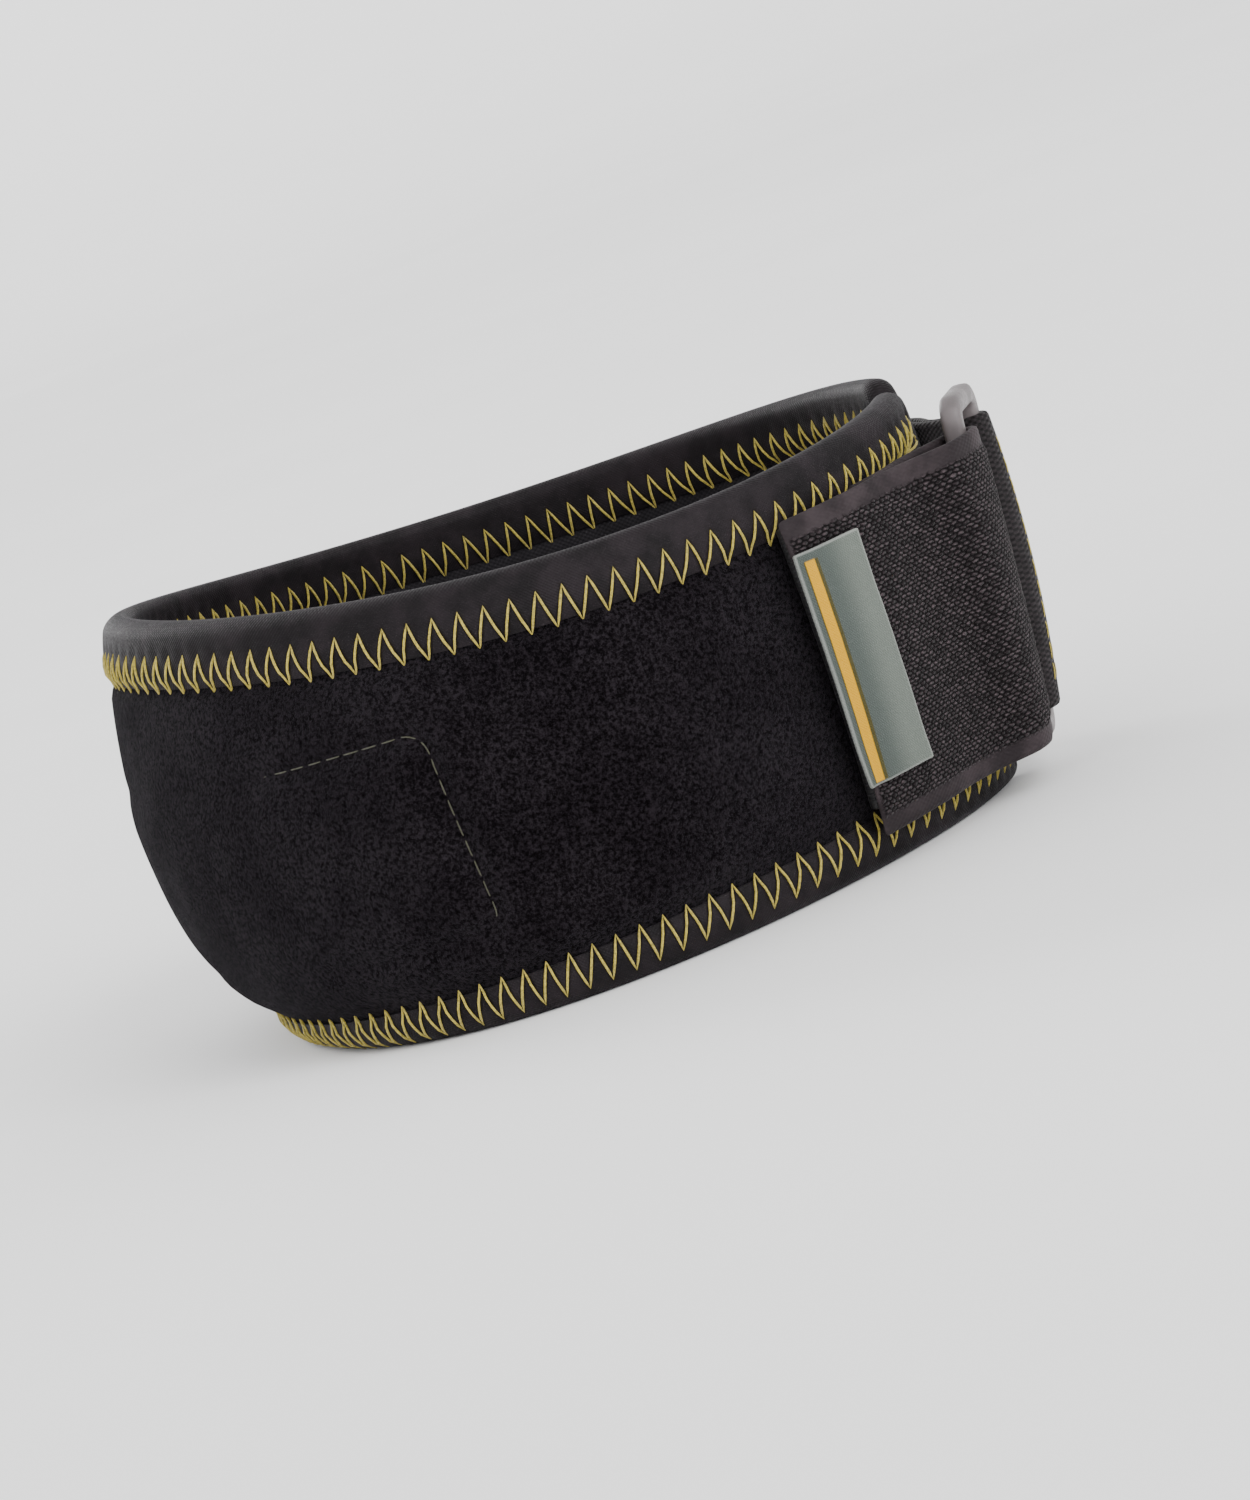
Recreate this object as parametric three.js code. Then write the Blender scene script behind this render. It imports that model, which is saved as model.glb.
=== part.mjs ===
// Patella strap: a soft band with a bound edge goes round the leg below the kneecap,
// with a pad inside its front. A pile strap leaves the band's near end, runs through a
// plastic ring that the band's far end carries, folds back and fastens with a hook tab.
// Millimetres, +Z up. The band stands on its lower edge at z = 0, the front of the knee
// points to -X, the back to +X and the near side, where the strap closes, to -Y.

import * as THREE from 'three';

// Opening for the leg, measured on the inside of the band
const lowerHalfLength = 53.2;
const lowerHalfWidth = 54;
const lowerNarrowing = -0.22;
const upperHalfLength = 54.5;
const upperHalfWidth = 50;
const upperNarrowing = 0.2;

// Band
const frontHeight = 65;
const backHeight = 58;
const sideDip = 4.5;
const bandWall = 3.6;
const bandCorner = 10;
const frontBulge = 6.5;
const sideBulge = 1.2;

// Edge binding, a tape folded over the band's edge
const bindingWidth = 8;
const bindingCloth = 0.8;
const bindingProud = 0.2;
const bindingRound = 0.5;

// Pad inside the front of the band
const padLength = 142;
const padLow = 13;
const padHeight = 28;
const padThickness = 5.5;
const padCorner = 4;
const padRimShare = 0.3;
const padShoulderShare = 0.75;
const padRound = 0.5;

// Ring of the closure, and how far it lies from the back's middle toward the near side
const ringFromBack = 16.12;
const ringOffset = 9.2;
const ringLean = THREE.MathUtils.degToRad(5.5);
const ringWidth = 18;
const ringBar = 3;
const ringCorner = 4;
const ringRound = 1.1;
const slotPlay = 1.2;
const slotCorner = 0.6;

// Pile strap and the keeper loop, both of the same webbing
const strapWidth = 43;
const strapLow = 7.4;
const strapThickness = 1.9;
const strapReturn = 42;
const strapAnchor = 27;
const bridgePast = 5.25;
const landingLength = 10.5;
const landingLift = 0.72;
const keeperReach = 34;

// Band ends, measured along the band from the middle of the ring
const nearEndPast = 9;
const farEndPast = 17;

// Hook tab and label, both near the strap's tip
const hookInset = 1;
const labelWidth = 9.6;
const labelHeight = 33.5;
const labelFromTip = 0.9;
const labelThickness = 0.7;

// Clearance between pieces that touch
const gap = 0.3;

const bandColour = 0x1d1a1d;
const bindingColour = 0x4a4445;
const padColour = 0x2a2628;
const pileColour = 0x312c2d;
const ringColour = 0x89807f;
const labelColour = 0x84857a;


// A point at a height on the inside of the band, or that far outside it. The angle is 0
// at the front of the knee and grows toward the near side.
function onBand(angle, offset, height) {
  const share = height / frontHeight;
  const halfLength = THREE.MathUtils.lerp(lowerHalfLength, upperHalfLength, share);
  const halfWidth = THREE.MathUtils.lerp(lowerHalfWidth, upperHalfWidth, share);
  const narrowing = THREE.MathUtils.lerp(lowerNarrowing, upperNarrowing, share);
  const cos = Math.cos(angle);
  const sin = Math.sin(angle);
  const point = new THREE.Vector3(-halfLength * cos, -halfWidth * sin * (1 - narrowing * cos), height);
  const alongX = halfLength * sin;
  const alongY = -halfWidth * (cos - narrowing * Math.cos(2 * angle));
  const outward = new THREE.Vector3(alongY, -alongX, 0).normalize();
  const frontShare = ((1 + cos) / 2) ** 2;
  const bulge = THREE.MathUtils.lerp(sideBulge, frontBulge, frontShare);
  return point.addScaledVector(outward, offset + bulge * Math.sin(Math.PI * share));
}


// The line round the leg that lengths along the band are measured on, past a full turn
// at both ends so that the overlapping ends lie on it too
const measuredTurn = THREE.MathUtils.degToRad(240);

class BandLine extends THREE.Curve {
  getPoint(t) {
    return onBand(THREE.MathUtils.lerp(-measuredTurn, measuredTurn, t), bandWall / 2, frontHeight / 2);
  }
}

const bandLine = new BandLine();
bandLine.arcLengthDivisions = 960;
const bandLineHalf = bandLine.getLength() / 2;


function angleAt(along) {
  const t = bandLine.getUtoTmapping(0, bandLineHalf + along);
  return THREE.MathUtils.lerp(-measuredTurn, measuredTurn, t);
}


function fullTurnLength() {
  const lengths = bandLine.getLengths();
  const steps = lengths.length - 1;
  const turnShare = Math.PI / measuredTurn / 2;
  return lengths[Math.round(steps * (0.5 + turnShare))] - lengths[Math.round(steps * (0.5 - turnShare))];
}


// Height of the band's upper edge, highest at the front and a little lower at both sides
function bandTop(along) {
  const angle = angleAt(along);
  const straight = THREE.MathUtils.lerp(backHeight, frontHeight, (1 + Math.cos(angle)) / 2);
  return straight - sideDip * Math.sin(angle) ** 2;
}


// A closed body from its points and triangles, turned so that its faces point out
function closedBody(points, triangles) {
  const volume = triangles.reduce((sum, [a, b, c]) => {
    const cross = new THREE.Vector3().crossVectors(points[b], points[c]);
    return sum + points[a].dot(cross);
  }, 0);
  const index = triangles.flatMap(([a, b, c]) => (volume < 0 ? [a, c, b] : [a, b, c]));
  const geometry = new THREE.BufferGeometry().setFromPoints(points);
  geometry.setIndex(index);
  geometry.computeVertexNormals();
  return geometry;
}


function quad(a, b, c, d) {
  return [[a, b, c], [a, c, d]];
}


// Triangles between two closed loops of point numbers
function joinLoops(first, second) {
  return first.flatMap((point, i) => {
    const next = (i + 1) % first.length;
    return quad(point, first[next], second[next], second[i]);
  });
}


// A region of the band is a rectangle with round corners, measured along the band and in
// height. This gives its points in columns, drawn in from its border by an inset.
function regionGrid(region, inset) {
  const { from, to, low, high, corner, columns, cornerColumns, levels } = region;
  const radius = corner - inset;
  return Array.from({ length: columns + 1 }, (_, column) => {
    const fromEnd = Math.min(column, columns - column);
    const straightShare = (column - cornerColumns) / (columns - 2 * cornerColumns);
    const turn = (Math.min(fromEnd, cornerColumns) / cornerColumns) * (Math.PI / 2);
    let along = THREE.MathUtils.lerp(from + corner, to - corner, THREE.MathUtils.clamp(straightShare, 0, 1));
    along += (column < columns / 2 ? -1 : 1) * radius * Math.cos(turn);
    const rise = corner - radius * Math.sin(turn);
    return Array.from({ length: levels + 1 }, (_, level) => {
      const height = THREE.MathUtils.lerp(low(along) + rise, high(along) - rise, level / levels);
      return { along, height };
    });
  });
}


// The border of a grid of columns, once round
function gridBorder(grid) {
  const last = grid.length - 1;
  const top = grid[0].length - 1;
  return [
    ...grid.map((column) => column[0]),
    ...grid[last].slice(1),
    ...grid.slice(0, last).reverse().map((column) => column[top]),
    ...grid[0].slice(1, top).reverse(),
  ];
}


// Adds one spot of the band's surface to the points and gives its number
function addSpot(points, spot, offset) {
  return points.push(onBand(angleAt(spot.along), offset, spot.height)) - 1;
}


// A body that lies on the band. Each profile lists inset and offset from the border
// inward, and its last entry is the depth of the whole face inside that inset.
function panel(region, outsideProfile, insideProfile) {
  const points = [];
  const triangles = [];
  const loopsOf = (profile) => {
    const face = profile.at(-1);
    const rims = profile.slice(0, -1).map(({ inset, offset }) =>
      gridBorder(regionGrid(region, inset)).map((spot) => addSpot(points, spot, offset)));
    const grid = regionGrid(region, face.inset).map((column) =>
      column.map((spot) => addSpot(points, spot, face.offset)));
    for (let column = 0; column < grid.length - 1; column += 1) {
      for (let level = 0; level < grid[0].length - 1; level += 1) {
        const corners = [
          grid[column][level],
          grid[column + 1][level],
          grid[column + 1][level + 1],
          grid[column][level + 1],
        ];
        triangles.push(...quad(...(profile === outsideProfile ? corners : corners.reverse())));
      }
    }
    return [...rims, gridBorder(grid)];
  };
  const loops = [...loopsOf(insideProfile).reverse(), ...loopsOf(outsideProfile)];
  for (let i = 0; i < loops.length - 1; i += 1) {
    triangles.push(...joinLoops(loops[i], loops[i + 1]));
  }
  return closedBody(points, triangles);
}


// A body whose section of insets and offsets goes once round the border of a region
function hem(region, section) {
  const points = [];
  const loops = section.map(({ inset, offset }) =>
    gridBorder(regionGrid(region, inset)).map((spot) => addSpot(points, spot, offset)));
  return closedBody(points, loops.flatMap((loop, i) => joinLoops(loop, loops[(i + 1) % loops.length])));
}


// A strip of webbing that stands on edge. Each stop gives a point of its middle line in
// plan for a height, and a smooth line through the stops is followed at every level.
function webbing(stops, stepsPerStop, levels) {
  const steps = (stops.length - 1) * stepsPerStop;
  const points = [];
  const sides = [-1, 1].map((side) => Array.from({ length: levels + 1 }, (_, level) => {
    const height = strapLow + (strapWidth * level) / levels;
    const line = new THREE.CatmullRomCurve3(stops.map((stop) => stop(height)), false, 'centripetal');
    return Array.from({ length: steps + 1 }, (_, step) => {
      const tangent = line.getTangent(step / steps);
      const across = new THREE.Vector3(tangent.y, -tangent.x, 0).normalize();
      const point = line.getPoint(step / steps).addScaledVector(across, (side * strapThickness) / 2);
      return points.push(point) - 1;
    });
  }));
  const [inner, outer] = sides;
  const sectionAt = (step) => [
    ...inner.map((row) => row[step]),
    ...outer.map((row) => row[step]).reverse(),
  ];
  const triangles = [];
  for (let step = 0; step < steps; step += 1) {
    triangles.push(...joinLoops(sectionAt(step), sectionAt(step + 1)));
  }
  for (let level = 0; level < levels; level += 1) {
    triangles.push(...quad(inner[level][0], outer[level][0], outer[level + 1][0], inner[level + 1][0]));
    const end = [inner[level][steps], inner[level + 1][steps], outer[level + 1][steps], outer[level][steps]];
    triangles.push(...quad(...end));
  }
  return closedBody(points, triangles);
}


function roundedRectangle(path, width, height, radius) {
  const x = width / 2;
  const y = height / 2;
  path.moveTo(-x + radius, -y);
  path.lineTo(x - radius, -y);
  path.absarc(x - radius, -y + radius, radius, -Math.PI / 2, 0);
  path.lineTo(x, y - radius);
  path.absarc(x - radius, y - radius, radius, 0, Math.PI / 2);
  path.lineTo(-x + radius, y);
  path.absarc(-x + radius, y - radius, radius, Math.PI / 2, Math.PI);
  path.lineTo(-x, -y + radius);
  path.absarc(-x + radius, -y + radius, radius, Math.PI, 1.5 * Math.PI);
  return path;
}


// Places that several pieces share
const strapMiddle = strapLow + strapWidth / 2;
const ringHeight = strapWidth + 2 * slotPlay + 2 * ringBar;
const ringMiddle = strapLow - gap - ringBar + ringHeight / 2;
const turnLength = fullTurnLength();
const ringAlong = turnLength / 2 - ringFromBack;
const layerStep = strapThickness + gap;
const firstLayer = bandWall + bindingProud + gap + strapThickness / 2;
const secondLayer = firstLayer + layerStep;
const strapTip = ringAlong - strapReturn;
const strapStart = ringAlong - strapAnchor;
const onFloor = () => 0;

const bandRegion = {
  from: ringAlong + farEndPast - turnLength,
  to: ringAlong + nearEndPast,
  low: onFloor,
  high: bandTop,
  corner: bandCorner,
  columns: 76,
  cornerColumns: 4,
  levels: 6,
};


function flatRegion(from, length, low, height, corner, columns) {
  return {
    from,
    to: from + length,
    low: () => low,
    high: () => low + height,
    corner,
    columns,
    cornerColumns: 2,
    levels: 4,
  };
}


// The band is thin where the binding folds over it and has its full wall inside that
function makeBand() {
  const edge = bindingCloth + gap;
  const thinOutside = bandWall + bindingProud - bindingCloth - gap;
  const thinInside = bindingCloth + gap - bindingProud;
  const shoulder = bindingWidth + gap;
  const slope = shoulder + (bandWall - thinOutside);
  return panel(
    bandRegion,
    [
      { inset: edge, offset: thinOutside },
      { inset: shoulder, offset: thinOutside },
      { inset: slope, offset: bandWall },
    ],
    [
      { inset: edge, offset: thinInside },
      { inset: shoulder, offset: thinInside },
      { inset: slope, offset: 0 },
    ],
  );
}


function makeBinding() {
  const outside = bandWall + bindingProud;
  const inside = -bindingProud;
  return hem(bandRegion, [
    { inset: 0, offset: inside + bindingRound },
    { inset: 0, offset: outside - bindingRound },
    { inset: bindingRound, offset: outside },
    { inset: bindingWidth, offset: outside },
    { inset: bindingWidth, offset: outside - bindingCloth },
    { inset: bindingCloth, offset: outside - bindingCloth },
    { inset: bindingCloth, offset: inside + bindingCloth },
    { inset: bindingWidth, offset: inside + bindingCloth },
    { inset: bindingWidth, offset: inside },
    { inset: bindingRound, offset: inside },
  ]);
}


// The pad swells inward from a thin border
function makePad() {
  const region = {
    ...flatRegion(-padLength / 2, padLength, padLow, padHeight, padCorner, 30),
    cornerColumns: 3,
  };
  return panel(
    region,
    [{ inset: 0, offset: -gap - padRound }, { inset: padRound, offset: -gap }],
    [
      { inset: 0, offset: -gap - padRimShare * padThickness },
      { inset: padCorner / 3, offset: -gap - padShoulderShare * padThickness },
      { inset: padCorner - padRound, offset: -gap - padThickness },
    ],
  );
}


// The ring's own directions: across points along the band toward the far side, and its
// top leans out from the leg
const ringAngle = angleAt(ringAlong);
const ringPlace = onBand(ringAngle, ringOffset, ringMiddle);
const ringFoot = onBand(ringAngle, 0, ringMiddle);
const ringOutward = ringPlace.clone().sub(ringFoot).setZ(0).normalize();
const ringAcross = new THREE.Vector3(-ringOutward.y, ringOutward.x, 0);
const ringUp = new THREE.Vector3(0, 0, 1).addScaledVector(ringOutward, Math.tan(ringLean));
const barPlace = (ringWidth - ringBar) / 2;


function makeRing() {
  const shape = roundedRectangle(new THREE.Shape(), ringWidth - 2 * ringRound, ringHeight - 2 * ringRound,
    ringCorner - ringRound);
  const slot = roundedRectangle(new THREE.Path(), ringWidth - 2 * ringBar + 2 * ringRound,
    ringHeight - 2 * ringBar + 2 * ringRound, ringRound + slotCorner);
  shape.holes.push(slot);
  const geometry = new THREE.ExtrudeGeometry(shape, {
    depth: ringBar - 2 * ringRound,
    bevelSize: ringRound,
    bevelThickness: ringRound,
    bevelSegments: 3,
    curveSegments: 5,
  });
  return geometry.translate(0, 0, ringRound - ringBar / 2);
}


const webbingSteps = 4;
const webbingLevels = 4;
const quarterTurns = [-90, -45, 0, 45, 90];
const keeperWrap = 125;


// Stops for a strip of webbing: on the band, or beside the ring in the ring's directions
function bandStop(along, offset) {
  return (height) => onBand(angleAt(along), offset, height);
}


function ringStop(across, outward) {
  return (height) => ringPlace.clone()
    .addScaledVector(ringAcross, across)
    .addScaledVector(ringOutward, outward / Math.cos(ringLean))
    .addScaledVector(ringUp, height - ringMiddle);
}


// A turn round one of the ring's two long bars, from its inner side at -90 degrees
// through the slot at 0 to its outer side at 90
function barTurn(side, turns) {
  const radius = ringBar / 2 + gap + strapThickness / 2;
  return turns.map((degrees) => {
    const turn = THREE.MathUtils.degToRad(degrees);
    return ringStop(side * (barPlace - radius * Math.cos(turn)), radius * Math.sin(turn));
  });
}


// The strap leaves the band, goes under the near bar, turns round it and comes back
function makeStrap() {
  const bridge = barPlace + bridgePast;
  const lift = ringOffset + ringBar / 2 + strapThickness;
  const outgoing = [strapStart, (strapStart + ringAlong - bridge) / 2, ringAlong - bridge]
    .map((along) => bandStop(along, firstLayer));
  const landing = ringAlong - bridge - landingLength;
  const returning = [
    bandStop(ringAlong - bridge, lift),
    bandStop((ringAlong - bridge + landing) / 2, THREE.MathUtils.lerp(lift, secondLayer, landingLift)),
    ...[0, 0.25, 0.5, 0.75, 1].map((share) =>
      bandStop(THREE.MathUtils.lerp(landing, strapTip, share), secondLayer)),
  ];
  return webbing([...outgoing, ...barTurn(-1, quarterTurns), ...returning], webbingSteps, webbingLevels);
}


// The keeper loop holds the ring's far bar, and its two layers are sewn to the far end
function makeKeeper() {
  const sewnFrom = ringAlong + farEndPast - gap;
  const sewnTo = ringAlong + keeperReach;
  const sewn = [sewnTo, (sewnFrom + sewnTo) / 2, sewnFrom];
  const inner = sewn.map((along) => bandStop(along, firstLayer));
  const outer = sewn.toReversed().map((along) => bandStop(along, secondLayer));
  const turn = barTurn(1, [...quarterTurns, keeperWrap]);
  return webbing([...inner, ...turn, ...outer], webbingSteps, webbingLevels);
}


function makeHookTab() {
  const from = strapTip + hookInset;
  const length = strapStart - gap - hookInset - from;
  const low = strapLow + hookInset;
  const inside = firstLayer - strapThickness / 2;
  return panel(
    flatRegion(from, length, low, strapWidth - 2 * hookInset, 2 * hookInset, 8),
    [{ inset: 0, offset: inside + strapThickness }, { inset: hookInset, offset: inside + strapThickness }],
    [{ inset: 0, offset: inside }, { inset: hookInset, offset: inside }],
  );
}


function makeLabel() {
  const inside = secondLayer + strapThickness / 2 + gap;
  const rim = labelThickness / 2;
  return panel(
    flatRegion(strapTip + labelFromTip, labelWidth, strapMiddle - labelHeight / 2, labelHeight, 2 * rim, 8),
    [{ inset: 0, offset: inside + rim }, { inset: rim, offset: inside + labelThickness }],
    [{ inset: 0, offset: inside }, { inset: rim, offset: inside }],
  );
}


function part(name, geometry, color, roughness) {
  const mesh = new THREE.Mesh(geometry, new THREE.MeshStandardMaterial({ color, roughness, metalness: 0 }));
  mesh.name = name;
  return mesh;
}


const ring = part('buckle_ring', makeRing(), ringColour, 0.45);
ring.position.copy(ringPlace);
const ringTop = ringUp.clone().normalize();
ring.setRotationFromMatrix(new THREE.Matrix4().makeBasis(ringAcross, ringTop, ringAcross.clone().cross(ringTop)));

const patellaStrap = new THREE.Group();
patellaStrap.add(
  part('band', makeBand(), bandColour, 0.95),
  part('edge_binding', makeBinding(), bindingColour, 0.8),
  part('tendon_pad', makePad(), padColour, 0.9),
  part('closing_strap', makeStrap(), pileColour, 0.95),
  part('ring_keeper', makeKeeper(), pileColour, 0.9),
  part('hook_tab', makeHookTab(), padColour, 0.85),
  part('label', makeLabel(), labelColour, 0.7),
  ring,
);

// The origin lies under the middle of the whole strap, closure included
const middle = new THREE.Box3().setFromObject(patellaStrap).getCenter(new THREE.Vector3());
patellaStrap.position.set(-middle.x, -middle.y, 0);

export default patellaStrap;
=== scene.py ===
"""Patella strap: a velvet band with a bound edge, closed by a pile strap through a ring."""

import math
from bisect import bisect_right

import bmesh
import bpy
from bpy.props import FloatProperty, FloatVectorProperty, IntProperty, PointerProperty
from bpy.types import Operator, Panel, PropertyGroup
from mathutils import Matrix, Vector, kdtree, noise


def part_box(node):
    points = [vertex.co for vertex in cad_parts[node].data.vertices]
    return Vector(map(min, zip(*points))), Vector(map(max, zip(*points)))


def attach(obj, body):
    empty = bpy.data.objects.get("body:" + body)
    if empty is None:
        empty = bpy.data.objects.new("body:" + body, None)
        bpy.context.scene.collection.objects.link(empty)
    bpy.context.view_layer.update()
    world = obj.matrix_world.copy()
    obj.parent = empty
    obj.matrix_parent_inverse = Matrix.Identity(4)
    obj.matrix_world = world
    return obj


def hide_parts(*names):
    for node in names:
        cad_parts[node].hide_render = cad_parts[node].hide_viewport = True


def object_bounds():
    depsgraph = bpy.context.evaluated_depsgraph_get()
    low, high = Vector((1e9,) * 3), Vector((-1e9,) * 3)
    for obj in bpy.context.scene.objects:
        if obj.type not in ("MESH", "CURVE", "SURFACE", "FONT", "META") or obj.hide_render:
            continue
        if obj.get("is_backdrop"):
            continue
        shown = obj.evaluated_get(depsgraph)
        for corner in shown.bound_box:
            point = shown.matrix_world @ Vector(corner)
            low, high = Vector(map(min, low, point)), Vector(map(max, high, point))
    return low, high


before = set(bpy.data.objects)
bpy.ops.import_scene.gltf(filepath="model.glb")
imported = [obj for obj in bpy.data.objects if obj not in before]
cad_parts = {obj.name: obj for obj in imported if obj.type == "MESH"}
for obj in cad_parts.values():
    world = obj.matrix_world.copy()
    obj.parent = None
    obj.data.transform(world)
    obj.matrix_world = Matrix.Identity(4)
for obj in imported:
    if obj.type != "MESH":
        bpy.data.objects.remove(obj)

CAD_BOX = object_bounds()

bl_info = {
    "name": "Patella strap",
    "version": (1, 0, 0),
    "blender": (4, 5, 0),
    "location": "3D View > Sidebar > Patella strap",
    "description": "Makes a soft patella strap with its stitches, webbing, ring and label",
    "category": "Object",
}

MM = 0.001
PHOTO_WIDTH = 1250
PHOTO_HEIGHT = 1500


def length(name, description, millimetres):
    """A length that the user can set, kept in metres."""
    return FloatProperty(name=name, description=description, default=millimetres * MM,
                         unit="LENGTH", precision=5)


def share(name, description, value):
    """A plain number between nothing and all, or a ratio."""
    return FloatProperty(name=name, description=description, default=value, soft_min=-1, soft_max=2)


def linear(level):
    """A screen level from 0 to 255 as the light that Blender reckons with."""
    level /= 255
    return level / 12.92 if level <= 0.04045 else ((level + 0.055) / 1.055) ** 2.4


def colour(name, description, red, green, blue):
    """A colour that the user can set, given by its screen levels."""
    return FloatVectorProperty(
        name=name, description=description, subtype="COLOR", size=3, min=0, max=1,
        default=(linear(red), linear(green), linear(blue)),
    )


# Sizes and colours that a user would change

class OpeningSizes(PropertyGroup):
    """The shape of the opening, on the inside of the band."""

    lower_half_length: length("Lower half length", "Front to middle at the lower edge", 53.2)
    lower_half_width: length("Lower half width", "Side to middle at the lower edge", 54)
    lower_narrowing: share("Lower narrowing", "How much narrower the lower front is than the back",
                           -0.22)
    upper_half_length: length("Upper half length", "Front to middle at the upper edge", 54.5)
    upper_half_width: length("Upper half width", "Side to middle at the upper edge", 50)
    upper_narrowing: share("Upper narrowing", "How much narrower the upper front is than the back",
                           0.2)
    front_bulge: length("Front bulge", "How far the front swells between its edges", 6.5)
    side_bulge: length("Side bulge", "How far the sides and back swell", 1.2)
    front_curl: length("Front curl", "How far the lower front edge curls inward", 4.2)
    curl_height: length("Curl height", "Height at which that curl begins", 13)


class BandSizes(PropertyGroup):
    """The band, its binding and the pad inside it."""

    front_height: length("Front height", "Height of the band at the front", 65)
    back_height: length("Back height", "Height of the band at the back", 58.5)
    side_dip: length("Side dip", "How much lower the upper edge runs at both sides", 4.5)
    wall: length("Wall", "Thickness of the padded cloth", 3.6)
    corner: length("Corner", "Radius of the corners at both ends", 4)
    near_end: length("Near end", "How far the near end reaches past the ring's middle", 4)
    far_end: length("Far end", "How far the far end stops short of the ring's middle", 17)
    tape_low: length("Lower binding", "Width of the binding along the lower edge", 7.2)
    tape_front: length("Front narrowing", "How much narrower the lower binding is at the front", 2.7)
    tape_high: length("Upper binding", "Width of the binding along the upper edge", 8.6)
    tape_cloth: length("Binding cloth", "Thickness of the binding", 0.8)
    tape_proud: length("Binding proud", "How far the binding stands out from the band", 0.2)
    pad_length: length("Pad length", "Length of the pad along the band", 142)
    pad_low: length("Pad low", "Height of the pad's lower edge", 13)
    pad_height: length("Pad height", "Height of the pad itself", 28)
    pad_thickness: length("Pad thickness", "Thickness of the filled pad", 5.5)
    pad_corner: length("Pad corner", "Radius of the pad's corners", 3)


class StrapSizes(PropertyGroup):
    """The webbing, the ring, the hook tape and the label."""

    width: length("Strap width", "Width of the webbing", 43)
    low: length("Strap low", "Height of the webbing's lower selvedge", 7.4)
    thickness: length("Strap thickness", "Thickness of the webbing", 1.9)
    selvedge: length("Selvedge", "Width of the smooth edge along the pile", 2.6)
    back_from_ring: length("Return", "How far the strap comes back from the ring", 42)
    start_from_ring: length("Start", "How far before the ring the strap is sewn on", 27)
    keeper_reach: length("Keeper reach", "How far the keeper is sewn past the ring", 34)
    ring_along: length("Ring place", "Where the ring sits along the band", 166)
    ring_offset: length("Ring offset", "How far the ring stands off the band's inside", 9.2)
    ring_lean: FloatProperty(
        name="Ring lean", description="How far the ring's top leans out",
        default=math.radians(5.5), subtype="ANGLE",
    )
    ring_width: length("Ring width", "Outside width of the ring", 18)
    ring_bar: length("Ring bar", "Thickness of the ring's bars", 3)
    ring_corner: length("Ring corner", "Outside radius of the ring's corners", 4)
    slot_play: length("Slot play", "Room above and below the webbing in the ring", 1.2)
    hook_inset: length("Hook inset", "How far the hook tape stays inside the strap", 1)
    label_width: length("Label width", "Width of the label at its top", 10.2)
    label_height: length("Label height", "Height of the label", 33.5)
    label_inset: length("Label inset", "How far the label sits from the strap's tip", -0.2)
    label_flare: length("Label flare", "How much wider the label is at its foot", 1)
    droop: length("Strap droop", "How far the strap's lower corner hangs down at its tip", 2.6)
    label_thickness: length("Label thickness", "Thickness of the label", 0.7)
    gap: length("Gap", "Room between pieces that touch", 0.3)


class StitchSizes(PropertyGroup):
    """Seams: the zigzag on both faces of the edge and the straight rows."""

    pitch: length("Zigzag pitch", "Distance from one zigzag stitch to the next", 3.5)
    over: length("Zigzag over", "How far the zigzag reaches past the binding's edge", 0.8)
    back: length("Zigzag back", "How far the zigzag reaches on to the binding", 4.6)
    lean: share("Zigzag lean", "Part of the pitch that the thread takes on its way inward", 0.72)
    thread: length("Zigzag thread", "Thickness of the zigzag thread", 0.37)
    fine_thread: length("Fine thread", "Thickness of the straight seams' thread", 0.2)
    stitch: length("Stitch", "Length of a straight stitch", 2.7)
    stitch_gap: length("Stitch gap", "Room between two straight stitches", 0.2)


class Finishes(PropertyGroup):
    """Colours of the cloths, threads and plastic."""

    velvet: colour("Velvet", "Pile of the band's face", 22, 19, 22)
    velvet_worn: colour("Brushed velvet", "Patches where the pile lies another way", 27, 24, 27)
    lining: colour("Lining", "Knit inside the band", 30, 28, 31)
    binding: colour("Binding", "Knitted tape round the edge", 31, 26, 29)
    binding_dark: colour("Binding shade", "The tape's own dark streaks", 18, 15, 17)
    pad: colour("Pad", "Cover of the pad", 26, 24, 26)
    pile: colour("Pile", "Ground of the pile webbing", 12, 9, 10)
    pile_fleck: colour("Pile flecks", "Loops that catch the light", 73, 64, 67)
    selvedge: colour("Selvedge", "Smooth edges of the webbing", 36, 31, 33)
    ring: colour("Ring", "Grey plastic", 97, 90, 91)
    label: colour("Label", "Ground of the woven label", 68, 76, 72)
    label_light: colour("Label sheen", "Lighter half of the label", 98, 105, 98)
    stripe: colour("Stripe", "Golden stripe of the label", 192, 142, 0)
    stripe_edge: colour("Stripe edge", "Olive line beside the stripe", 60, 55, 14)
    thread: colour("Zigzag thread", "Khaki yellow thread", 200, 180, 70)
    quiet_thread: colour("Quiet thread", "Olive thread of the straight seams", 64, 64, 40)
    hook: colour("Hook tape", "Nylon hook tape", 18, 17, 19)
    floor: colour("Floor", "Pale floor", 246, 246, 246)


class PatellaStrap(PropertyGroup):
    """Everything that can be set, in one place."""

    opening: PointerProperty(type=OpeningSizes)
    band: PointerProperty(type=BandSizes)
    strap: PointerProperty(type=StrapSizes)
    stitches: PointerProperty(type=StitchSizes)
    finishes: PointerProperty(type=Finishes)
    seed: IntProperty(name="Seed", description="Start of the small irregularities", default=7)


# The band's own measure: along its course, up and outward

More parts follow.
